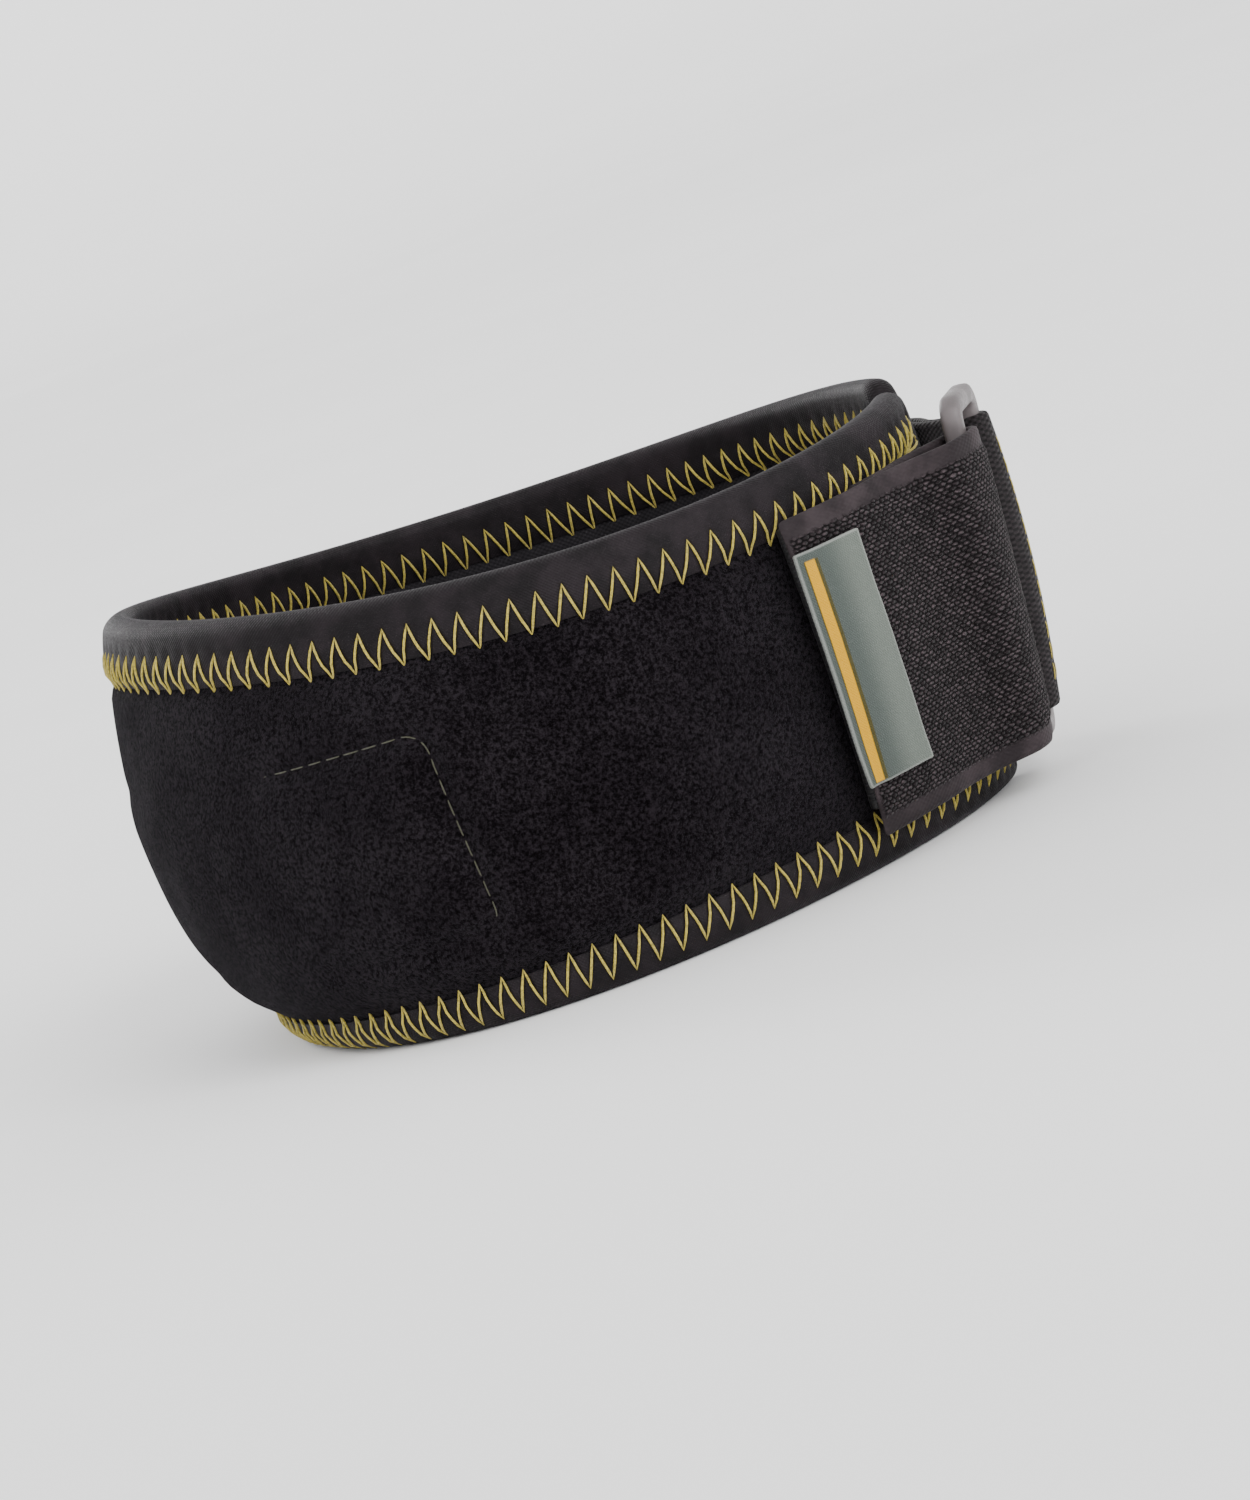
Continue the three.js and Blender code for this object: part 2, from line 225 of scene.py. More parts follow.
MEASURED_TURN = math.radians(240)
MEASURED_HEIGHT = 30 * MM
LINE_STEPS = 960
EDGE_STEPS = 300
END_STEPS = 30
CORNER_STEPS = 12


def mix(first, second, part):
    """The value that part of the way leads to, from first to second."""
    return first + (second - first) * part


def smooth(low, high, value):
    """0 below low, 1 above high and a soft step between them."""
    part = min(max((value - low) / (high - low), 0), 1)
    return part * part * (3 - 2 * part)


def hump(distance, width):
    """1 at no distance, and soon nothing farther than the width."""
    return math.exp(-((distance / width) ** 2))


def running_lengths(points):
    """How far along a line of points each of them lies."""
    lengths = [0]
    for first, second in zip(points, points[1:]):
        lengths.append(lengths[-1] + (second - first).length)
    return lengths


def locate(lengths, run):
    """Which stretch of a line a length falls in, and which part of that stretch."""
    index = min(max(bisect_right(lengths, run) - 1, 0), len(lengths) - 2)
    before = lengths[index]
    return index, (run - before) / max(lengths[index + 1] - before, 1e-9)


class BandLine:
    """The band's course round its opening, measured from the front toward the near side."""

    def __init__(self, settings):
        self.opening = settings.opening
        self.band = settings.band
        self.shift = Vector()
        steps = range(LINE_STEPS + 1)
        self.angles = [MEASURED_TURN * (2 * i / LINE_STEPS - 1) for i in steps]
        middle = self.band.front_height / 2
        lengths = running_lengths(
            [self.at_angle(angle, self.band.wall / 2, middle) for angle in self.angles])
        self.lengths = [value - lengths[-1] / 2 for value in lengths]
        turn = LINE_STEPS * math.pi / MEASURED_TURN / 2
        centre = LINE_STEPS / 2
        self.turn_length = self.lengths[round(centre + turn)] - self.lengths[round(centre - turn)]
        self.shift.x = self.frame_shift()

    def frame_shift(self):
        """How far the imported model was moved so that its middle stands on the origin."""
        outside = self.band.wall + self.band.tape_proud
        tape = 8 * MM
        heights = (tape, self.band.front_height - tape)
        front = min(self.at_angle(0, outside, height).x for height in heights)
        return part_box("edge_binding")[0][0] - front

    def at_angle(self, angle, offset, height):
        """A point on the inside of the band, or that far outside it."""
        opening = self.opening
        part = height / self.band.front_height
        half_length = mix(opening.lower_half_length, opening.upper_half_length, part)
        half_width = mix(opening.lower_half_width, opening.upper_half_width, part)
        narrowing = mix(opening.lower_narrowing, opening.upper_narrowing, part)
        cos = math.cos(angle)
        sin = math.sin(angle)
        point = Vector((-half_length * cos, -half_width * sin * (1 - narrowing * cos), height))
        run_x = half_length * sin
        run_y = -half_width * (cos - narrowing * math.cos(2 * angle))
        outward = Vector((run_y, -run_x, 0)).normalized()
        front = ((1 + cos) / 2) ** 2
        bulge = mix(opening.side_bulge, opening.front_bulge, front)
        curl = opening.front_curl * front * smooth(opening.curl_height, 0, height)
        return point + self.shift + outward * (offset + bulge * math.sin(math.pi * part) - curl)

    def angle_at(self, along):
        """The angle round the opening for a length along the band."""
        index, part = locate(self.lengths, along)
        return mix(self.angles[index], self.angles[index + 1], part)

    def point(self, along, height, offset):
        """The place in the room of a spot on the flat pattern."""
        return self.at_angle(self.angle_at(along), offset, height)

    def top(self, along):
        """Height of the band's upper edge."""
        angle = self.angle_at(along)
        straight = mix(self.band.back_height, self.band.front_height, (1 + math.cos(angle)) / 2)
        return straight - self.band.side_dip * math.sin(angle) ** 2


class Border:
    """The band's edge, once round its flat pattern, with the way inward at each spot."""

    def __init__(self, line, settings):
        self.line = line
        band = settings.band
        strap = settings.strap
        self.radius = band.corner
        self.start = strap.ring_along + band.far_end - line.turn_length
        self.end = strap.ring_along + band.near_end
        self.spots = self.bottom() + self.end_side() + self.upper() + self.start_side()
        self.spots.append(self.spots[0])
        self.lengths = [0]
        for first, second in zip(self.spots, self.spots[1:]):
            step = math.hypot(second[0] - first[0], second[1] - first[1])
            self.lengths.append(self.lengths[-1] + step)
        self.length = self.lengths[-1]

    def bottom(self):
        """The lower edge, toward the near end."""
        left = self.start + self.radius
        right = self.end - self.radius
        return [(mix(left, right, i / EDGE_STEPS), 0, 0, 1) for i in range(EDGE_STEPS + 1)]

    def upper(self):
        """The upper edge, back toward the far end."""
        left = self.start + self.radius
        right = self.end - self.radius
        alongs = [mix(right, left, i / EDGE_STEPS) for i in range(EDGE_STEPS + 1)]
        return [(along, self.line.top(along), 0, -1) for along in alongs]

    def corner(self, centre, direction, above):
        """A quarter turn between an end and the lower or upper edge."""
        spots = []
        for i in range(1, CORNER_STEPS):
            turn = direction + math.pi / 2 * i / CORNER_STEPS
            along = centre + self.radius * math.cos(turn)
            rise = self.radius * math.sin(turn)
            base = self.line.top(along) - self.radius if above else self.radius
            spots.append((along, base + rise, -math.cos(turn), -math.sin(turn)))
        return spots

    def end_side(self):
        """The near end with both its corners."""
        centre = self.end - self.radius
        high = self.line.top(self.end) - self.radius
        side = [(self.end, mix(self.radius, high, i / END_STEPS), -1, 0)
                for i in range(END_STEPS + 1)]
        return self.corner(centre, -math.pi / 2, False) + side + self.corner(centre, 0, True)

    def start_side(self):
        """The far end with both its corners."""
        centre = self.start + self.radius
        high = self.line.top(self.start) - self.radius
        side = [(self.start, mix(high, self.radius, i / END_STEPS), 1, 0)
                for i in range(END_STEPS + 1)]
        return self.corner(centre, math.pi / 2, True) + side + self.corner(centre, math.pi, False)

    def spot(self, run):
        """Along, height and the way inward, at a length along the border."""
        index, part = locate(self.lengths, run % self.length)
        first = Vector(self.spots[index])
        return first.lerp(Vector(self.spots[index + 1]), part)

    def inside(self, run, inset):
        """Along and height of a spot that far in from the border, mitred at the corners."""
        along, height, in_along, in_height = self.spot(run)
        along = min(max(along + in_along * inset, self.start + inset), self.end - inset)
        top = self.line.top(along)
        return along, min(max(height + in_height * inset, inset), top - inset)

    def inset(self, along, height):
        """How far inside the border a spot of the pattern lies."""
        radius = self.radius
        top = self.line.top(along)
        over = max(self.start + radius - along, along - self.end + radius, 0)
        rise = max(radius - height, height - top + radius, 0)
        if over > 0 and rise > 0:
            return radius - math.hypot(over, rise)
        return min(along - self.start, self.end - along, height, top - height)


# Meshes: cut flat, then laid round the opening

def flat_sheet(columns, rows, place, depth):
    """A closed flat sheet. place turns grid shares into its length and height."""
    sheet = bmesh.new()
    bmesh.ops.create_grid(sheet, x_segments=columns, y_segments=rows, size=0.5)
    for vert in sheet.verts:
        vert.co.x, vert.co.y = place(vert.co.x + 0.5, vert.co.y + 0.5)
    raised = bmesh.ops.extrude_face_region(sheet, geom=sheet.faces[:], use_keep_orig=True)
    upper = [item for item in raised["geom"] if isinstance(item, bmesh.types.BMVert)]
    bmesh.ops.translate(sheet, verts=upper, vec=(0, 0, depth))
    bmesh.ops.recalc_face_normals(sheet, faces=sheet.faces[:])
    return sheet


def soften_rim(sheet, depth):
    """Rounds the cut edges of a flat sheet."""
    rim = [edge for edge in sheet.edges if edge.calc_face_angle(0) > math.radians(60)]
    bmesh.ops.bevel(sheet, geom=rim, offset=depth * 0.35, segments=2, profile=0.5,
                    affect="EDGES", material=-1)


def keep_pattern(sheet):
    """Writes the flat pattern, in millimetres, to the UV map that the cloths read."""
    layer = sheet.loops.layers.uv.new("pattern")
    for face in sheet.faces:
        for loop in face.loops:
            loop[layer].uv = (loop.vert.co.x / MM, loop.vert.co.y / MM)


def lay_round(sheet, place):
    """Moves each vertex of a flat sheet to its place in the room."""
    for vert in sheet.verts:
        vert.co = place(*vert.co)


def as_piece(name, sheet, materials, replaces=()):
    """Makes the finished piece, smooth, riding on the strap's one body."""
    mesh = bpy.data.meshes.new(name)
    sheet.to_mesh(mesh)
    sheet.free()
    return dress(mesh, materials, replaces)


def dress(mesh, materials, replaces=()):
    """An object for a finished mesh, with its materials and its place in the frame."""
    piece = bpy.data.objects.new(mesh.name, mesh)
    bpy.context.scene.collection.objects.link(piece)
    for material in materials:
        mesh.materials.append(material)
    mesh.polygons.foreach_set("use_smooth", [True] * len(mesh.polygons))
    mesh.set_sharp_from_angle(angle=math.radians(50))
    if replaces:
        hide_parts(*replaces)
    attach(piece, "root")
    return piece


def sew(name, runs, radius, material, closed=False):
    """Thread laid along runs of points, as one piece."""
    curve = bpy.data.curves.new(name, "CURVE")
    curve.dimensions = "3D"
    curve.bevel_depth = radius
    curve.bevel_resolution = 1
    curve.use_fill_caps = not closed
    for run in runs:
        spline = curve.splines.new("POLY")
        spline.points.add(len(run) - 1)
        spline.points.foreach_set("co", [value for point in run for value in (*point, 1)])
        spline.use_cyclic_u = closed
    guide = bpy.data.objects.new(name, curve)
    bpy.context.scene.collection.objects.link(guide)
    depsgraph = bpy.context.evaluated_depsgraph_get()
    mesh = bpy.data.meshes.new_from_object(guide.evaluated_get(depsgraph))
    mesh.name = name
    bpy.data.objects.remove(guide)
    return dress(mesh, [material])


def smooth_line(stops, steps):
    """A smooth line through stops, with even speed where they lie unevenly."""
    ends = [stops[0] * 2 - stops[1], *stops, stops[-1] * 2 - stops[-2]]
    line = []
    for before, start, end, after in zip(ends, ends[1:], ends[2:], ends[3:]):
        knots = [0]
        for first, second in ((before, start), (start, end), (end, after)):
            knots.append(knots[-1] + max((second - first).length, 1e-7) ** 0.5)
        t0, t1, t2, t3 = knots
        for step in range(steps):
            t = mix(t1, t2, step / steps)
            a = before.lerp(start, (t - t0) / (t1 - t0))
            b = start.lerp(end, (t - t1) / (t2 - t1))
            c = end.lerp(after, (t - t2) / (t3 - t2))
            d = a.lerp(b, (t - t0) / (t2 - t0))
            e = b.lerp(c, (t - t1) / (t3 - t1))
            line.append(d.lerp(e, (t - t1) / (t2 - t1)))
    line.append(stops[-1].copy())
    return line


class Webbing:
    """A strip of webbing on edge. Each stop gives its place in plan for a height."""

    def __init__(self, stops):
        self.stops = stops
        self.lines = {}
        self.length = self.line(MEASURED_HEIGHT)[1][-1]

    def line(self, height):
        """The strip's middle line at one height, and the lengths along it."""
        key = round(height, 7)
        if key not in self.lines:
            points = smooth_line([stop(height) for stop in self.stops], 12)
            self.lines[key] = (points, running_lengths(points))
        return self.lines[key]

    def place(self, run, height, depth):
        """The place in the room of a spot of the strip; run goes from 0 to its length."""
        points, lengths = self.line(height)
        index, part = locate(lengths, min(max(run / self.length, 0), 1) * lengths[-1])
        back = points[max(index - 1, 0)]
        ahead = points[min(index + 2, len(points) - 1)]
        run_here = points[index + 1] - points[index]
        tangent = (points[index + 1] - back).lerp(ahead - points[index], part) + run_here
        across = Vector((tangent.y, -tangent.x, 0)).normalized()
        return points[index].lerp(points[index + 1], part) + across * depth


class Closure:
    """Where the webbing, the ring and what is sewn to them lie."""

    def __init__(self, line, settings):
        self.line = line
        strap = self.strap = settings.strap
        band = settings.band
        self.first_layer = band.wall + band.tape_proud + strap.gap + strap.thickness / 2
        self.second_layer = self.first_layer + (strap.thickness + strap.gap)
        self.tip = strap.ring_along - strap.back_from_ring
        self.start = strap.ring_along - strap.start_from_ring
        self.far_end = strap.ring_along + band.far_end
        self.middle = strap.low + strap.width / 2
        self.ring_height = strap.width + 2 * strap.slot_play + 2 * strap.ring_bar
        self.ring_middle = strap.low - strap.gap - strap.ring_bar + self.ring_height / 2
        self.bar_place = (strap.ring_width - strap.ring_bar) / 2
        angle = line.angle_at(strap.ring_along)
        self.ring_place = line.at_angle(angle, strap.ring_offset, self.ring_middle)
        foot = line.at_angle(angle, 0, self.ring_middle)
        self.outward = (self.ring_place - foot).to_2d().to_3d().normalized()
        self.across = Vector((-self.outward.y, self.outward.x, 0))
        self.up = Vector((0, 0, 1)) + self.outward * math.tan(strap.ring_lean)

    def band_stop(self, along, offset):
        """A stop on the band."""
        return lambda height: self.line.point(along, height, offset)

    def ring_stop(self, across, outward):
        """A stop beside the ring, in the ring's own directions."""
        reach = self.across * across + self.outward * (outward / math.cos(self.strap.ring_lean))
        return lambda height: self.ring_place + reach + self.up * (height - self.ring_middle)

    def bar_turn(self, side, turns):
        """Stops round one of the ring's long bars, from its inner side through the slot."""
        strap = self.strap
        radius = strap.ring_bar / 2 + strap.gap + strap.thickness / 2
        stops = []
        for turn in turns:
            across = side * (self.bar_place - radius * math.cos(math.radians(turn)))
            stops.append(self.ring_stop(across, radius * math.sin(math.radians(turn))))
        return stops

    def strap_line(self):
        """The strap: out along the band, round the near bar and back to its tip."""
        strap = self.strap
        bridge = self.bar_place + strap.back_from_ring / 8
        leave = strap.ring_along - bridge
        lift = strap.ring_offset + strap.ring_bar / 2 + strap.thickness
        landing = leave - strap.back_from_ring / 4
        outgoing = [self.band_stop(along, self.first_layer)
                    for along in (self.start, (self.start + leave) / 2, leave)]
        returning = [
            self.band_stop(leave, lift),
            self.band_stop((leave + landing) / 2, mix(lift, self.second_layer, 0.72)),
        ]
        for i in range(5):
            returning.append(self.band_stop(mix(landing, self.tip, i / 4), self.second_layer))
        return Webbing(outgoing + self.bar_turn(-1, (-90, -45, 0, 45, 90)) + returning)

    def keeper_line(self):
        """The keeper: from its sewn end round the far bar and back over itself."""
        strap = self.strap
        sewn_from = self.far_end - strap.gap
        sewn_to = strap.ring_along + strap.keeper_reach
        sewn = [sewn_to, (sewn_from + sewn_to) / 2, sewn_from]
        inner = [self.band_stop(along, self.first_layer) for along in sewn]
        outer = [self.band_stop(along, self.second_layer) for along in reversed(sewn)]
        return Webbing(inner + self.bar_turn(1, (-90, -45, 0, 45, 90, 125)) + outer)


# Shader nodes

def node(tree, kind, inputs=None, **fields):
    """Adds a node. Each input takes a plain value or another node's output."""
    made = tree.nodes.new(kind)
    for field, value in fields.items():
        setattr(made, field, value)
    for name, value in (inputs or {}).items():
        if isinstance(value, bpy.types.NodeSocket):
            tree.links.new(value, made.inputs[name])
        else:
            made.inputs[name].default_value = value
    return made


def math_node(tree, operation, first, second=0.0, third=0.0):
    """The result of a sum, product or other reckoning of two or three values."""
    made = node(tree, "ShaderNodeMath", {0: first, 1: second, 2: third}, operation=operation)
    return made.outputs[0]


def product(tree, first, second):
    """Two values multiplied."""
    return math_node(tree, "MULTIPLY", first, second)


def difference(tree, first, second):
    """The first value less the second."""
    return math_node(tree, "SUBTRACT", first, second)


def scaled(tree, value, factor):
    """A colour or a place times a factor."""
    return node(tree, "ShaderNodeVectorMath", {0: value, "Scale": factor}, operation="SCALE").outputs[0]


def split(tree, vector):
    """The single coordinates of a place, by their names."""
    return node(tree, "ShaderNodeSeparateXYZ", {0: vector}).outputs


def ramp(tree, value, low, high, start=0.0, end=1.0):
    """A soft step of a value between two limits."""
    made = node(tree, "ShaderNodeMapRange",
                {"Value": value, "From Min": low, "From Max": high, "To Min": start, "To Max": end},
                interpolation_type="SMOOTHSTEP")
    return made.outputs["Result"]


def ramp_line(tree, value, low, high):
    """0 at the low limit, 1 at the high one and even between them."""
    made = node(tree, "ShaderNodeMapRange", {"Value": value, "From Min": low, "From Max": high})
    return made.outputs["Result"]


def blend_colour(tree, factor, first, second):
    """One colour over another by a mask."""
    made = node(tree, "ShaderNodeMix", {"Factor": factor}, data_type="RGBA")
    for socket, value in ((made.inputs[6], first), (made.inputs[7], second)):
        if isinstance(value, bpy.types.NodeSocket):
            tree.links.new(value, socket)
        else:
            socket.default_value = (*value, 1)
    return made.outputs[2]


def group(name, scales, outputs):
    """An empty shader group that takes a place and its scales, with named outputs."""
    tree = bpy.data.node_groups.new(name, "ShaderNodeTree")
    tree.interface.new_socket("Vector", in_out="INPUT", socket_type="NodeSocketVector")
    for label in scales:
        tree.interface.new_socket(label, in_out="INPUT", socket_type="NodeSocketFloat")
    for label in outputs:
        tree.interface.new_socket(label, in_out="OUTPUT", socket_type="NodeSocketFloat")
    return tree, node(tree, "NodeGroupInput").outputs, node(tree, "NodeGroupOutput").inputs


def grain_group():
    """Large soft patches and a fine nap, as most cloths here show them."""
    tree, given, result = group("Nap", ("Patch scale", "Nap scale"), ("Patches", "Nap"))
    place = given["Vector"]
    patches = node(tree, "ShaderNodeTexNoise", {
        "Vector": place, "Scale": given["Patch scale"], "Detail": 3.0, "Roughness": 0.6})
    nap = node(tree, "ShaderNodeTexNoise", {
        "Vector": place, "Scale": given["Nap scale"], "Detail": 4.0, "Roughness": 0.75})
    tree.links.new(ramp(tree, patches.outputs["Fac"], 0.35, 0.65), result["Patches"])
    tree.links.new(ramp(tree, nap.outputs["Fac"], 0.3, 0.7), result["Nap"])
    return tree


def weave_group():
    """Threads that cross over and under each other, from the flat pattern in millimetres."""
    tree, given, result = group("Weave", ("Along", "Across"), ("Height", "Over"))
    spot = split(tree, given["Vector"])
    along = math_node(tree, "DIVIDE", spot["X"], given["Along"])
    across = math_node(tree, "DIVIDE", spot["Y"], given["Across"])
    wave_along = math_node(tree, "SINE", math_node(tree, "MULTIPLY", along, math.tau))
    wave_across = math_node(tree, "SINE", math_node(tree, "MULTIPLY", across, math.tau))
    crossing = math_node(tree, "MULTIPLY", wave_along, wave_across)
    tree.links.new(math_node(tree, "MULTIPLY_ADD", crossing, 0.5, 0.5), result["Height"])
    tree.links.new(ramp(tree, crossing, -0.1, 0.1), result["Over"])
    return tree


def loops_group():
    """Rows of short loops on the flat pattern, each row half a loop farther on."""
    tree, given, result = group("Loops", ("Along", "Across"), ("Height", "Chance"))
    spot = split(tree, given["Vector"])
    level = math_node(tree, "DIVIDE", spot["Y"], given["Across"])
    row = math_node(tree, "FLOOR", level)
    run = math_node(tree, "DIVIDE", spot["X"], given["Along"])
    run = math_node(tree, "ADD", run, math_node(tree, "MULTIPLY", row, 0.5))
    from_side = math_node(tree, "SUBTRACT", math_node(tree, "FRACT", level), 0.5)
    from_end = math_node(tree, "SUBTRACT", math_node(tree, "FRACT", run), 0.5)
    middle = node(tree, "ShaderNodeCombineXYZ", {0: from_end, 1: from_side}).outputs[0]
    distance = node(tree, "ShaderNodeVectorMath", {0: middle}, operation="LENGTH").outputs["Value"]
    cell = node(tree, "ShaderNodeCombineXYZ", {0: math_node(tree, "FLOOR", run), 1: row}).outputs[0]
    chance = node(tree, "ShaderNodeTexWhiteNoise", {"Vector": cell}, noise_dimensions="2D")
    tree.links.new(ramp(tree, distance, 0.15, 0.55, 1.0, 0.0), result["Height"])
    tree.links.new(chance.outputs["Value"], result["Chance"])
    return tree


def groups():
    """The shader groups, made once."""
    for name, maker in (("Nap", grain_group), ("Weave", weave_group), ("Loops", loops_group)):
        if name not in bpy.data.node_groups:
            maker()
    return bpy.data.node_groups


def place_group(tree, name, inputs):
    """A group placed in a material with its own values."""
    made = node(tree, "ShaderNodeGroup", node_tree=groups()[name])
    for label, value in inputs.items():
        if isinstance(value, bpy.types.NodeSocket):
            tree.links.new(value, made.inputs[label])
        else:
            made.inputs[label].default_value = value
    return made.outputs


def pattern(tree):
    """The flat pattern of a piece, in millimetres."""
    return node(tree, "ShaderNodeUVMap", uv_map="pattern").outputs["UV"]


def in_millimetres(tree):
    """The object's own coordinates, in millimetres."""
    coordinates = node(tree, "ShaderNodeTexCoord").outputs["Object"]
    return scaled(tree, coordinates, 1 / MM)


def nap_of(tree, patch_scale, nap_scale):
    """The patches and the nap of a cloth, at its own scales."""
    return place_group(tree, "Nap", {
        "Vector": in_millimetres(tree), "Patch scale": patch_scale, "Nap scale": nap_scale})


def weave_of(tree, along, across):
    """A weave on the flat pattern, with threads that far apart in millimetres."""
    return place_group(tree, "Weave", {"Vector": pattern(tree), "Along": along, "Across": across})


def shade(base_colour, factor):
    """A darker or lighter tone of a colour."""
    return [value * factor for value in base_colour]


def finish_with(name, make, roughness, sheen=0.0, sheen_roughness=0.4, sheen_tint=(1, 1, 1),
                specular=0.5):
    """A material whose colour, roughness and height come from make, a function of its tree."""
    if name in bpy.data.materials:
        return bpy.data.materials[name]
    material = bpy.data.materials.new(name)
    material.use_nodes = True
    tree = material.node_tree
    shader = tree.nodes["Principled BSDF"]
    shader.inputs["Roughness"].default_value = roughness
    shader.inputs["Sheen Weight"].default_value = sheen
    shader.inputs["Sheen Roughness"].default_value = sheen_roughness
    shader.inputs["Sheen Tint"].default_value = (*sheen_tint, 1)
    shader.inputs["Specular IOR Level"].default_value = specular
    base, rough, height, depth = make(tree)
    tree.links.new(base, shader.inputs["Base Color"])
    if rough is not None:
        tree.links.new(rough, shader.inputs["Roughness"])
    bump = node(tree, "ShaderNodeBump", {"Height": height, "Distance": depth, "Strength": 1.0})
    tree.links.new(bump.outputs["Normal"], shader.inputs["Normal"])
    return material


def velvet(finishes):
    """Short dark velvet, brushed in patches."""
    def make(tree):
        nap = nap_of(tree, 0.09, 1.9)
        brushed = blend_colour(tree, nap["Patches"], finishes.velvet, finishes.velvet_worn)
        flecks = ramp(tree, nap["Nap"], 0.1, 1.0, 0.3, 2.2)
        base = scaled(tree, brushed, flecks)
        return base, ramp(tree, nap["Patches"], 0, 1, 0.95, 0.8), nap["Nap"], 0.35 * MM
    return finish_with("brushed velvet", make, 0.9, sheen=0.05, sheen_roughness=0.1,
                       sheen_tint=(0.9, 0.88, 1.0), specular=0.02)


def knit(name, base_colour, deep=0.12):
    """A fine smooth knit, for the lining and the pad's cover."""
    def make(tree):
        nap = nap_of(tree, 0.12, 2.4)
        weave = weave_of(tree, 0.9, 0.7)
        # Painted shade: the threads that lie lower in the weave get a darker copy of the colour.
        dark = shade(base_colour, 0.6)
        base = blend_colour(tree, weave["Over"], dark, base_colour)
        worn = ramp(tree, nap["Patches"], 0, 1, 0.85, 1.15)
        toned = scaled(tree, base, worn)
        return toned, ramp(tree, nap["Nap"], 0, 1, 0.9, 0.75), weave["Height"], deep * MM
    return finish_with(name, make, 0.85, sheen=0.08, specular=0.1)


def woven(name, base_colour, dark_colour):
    """The smooth webbing of the keeper."""
    def make(tree):
        flat = pattern(tree)
        nap = nap_of(tree, 0.1, 1.6)
        weave = weave_of(tree, 1.4, 0.8)
        base = blend_colour(tree, weave["Over"], dark_colour, base_colour)
        worn = ramp(tree, nap["Patches"], 0, 1, 0.8, 1.15)
        toned = scaled(tree, base, worn)
        return toned, ramp(tree, nap["Nap"], 0, 1, 0.85, 0.65), weave["Height"], 0.16 * MM
    return finish_with(name, make, 0.75, sheen=0.06, specular=0.2)


# Colour of the painted shade in the furrows beside the zigzag thread.
FURROW_SHADE = (0.006, 0.004, 0.003)


def binding_knit(settings):
    """The edge tape: fine ribs, dented along each stitch of the zigzag, with painted shade in those
    dents.
    """
    finishes = settings.finishes
    stitches = settings.stitches
    border_length = Border(BandLine(settings), settings).length
    pitch = border_length / round(border_length / stitches.pitch) / MM

    def make(tree):
        flat = pattern(tree)
        spot = split(tree, flat)
        nap = nap_of(tree, 0.16, 2.6)
        weave = weave_of(tree, 0.55, 0.5)
        streaks = blend_colour(tree, nap["Patches"], finishes.binding_dark, finishes.binding)
        thread_root = -stitches.back / MM
        thread_tip = stitches.over / MM
        rise = ramp(tree, spot["Y"], thread_root, thread_tip)
        cycle = math_node(tree, "FRACT", math_node(tree, "DIVIDE", spot["X"], pitch))
        reach = ramp_line(tree, spot["Y"], thread_root, thread_tip)
        inward = product(tree, reach, stitches.lean)
        inward = math_node(tree, "ABSOLUTE", difference(tree, cycle, inward))
        outward = math_node(tree, "MULTIPLY_ADD", reach, stitches.lean - 1, 1.0)
        outward = math_node(tree, "ABSOLUTE", difference(tree, cycle, outward))
        nearest = math_node(tree, "MINIMUM", inward, outward)
        inside = ramp(tree, spot["Y"], thread_root - 0.6, thread_root)
        # The furrow beside each stitch is dented by the bump and darkened as painted shade.
        furrow = product(tree, ramp(tree, nearest, 0.05, 0.17, 1.0, 0.0), inside)
        shaded = blend_colour(tree, product(tree, furrow, 0.85), streaks, FURROW_SHADE)
        height = difference(tree, product(tree, weave["Height"], 0.3),
                           product(tree, furrow, rise))
        return shaded, ramp(tree, nap["Nap"], 0, 1, 0.72, 0.55), height, 0.2 * MM
    return finish_with("binding knit", make, 0.65, sheen=0.02, sheen_roughness=0.3,
                       sheen_tint=(0.85, 0.88, 1.0), specular=0.12)


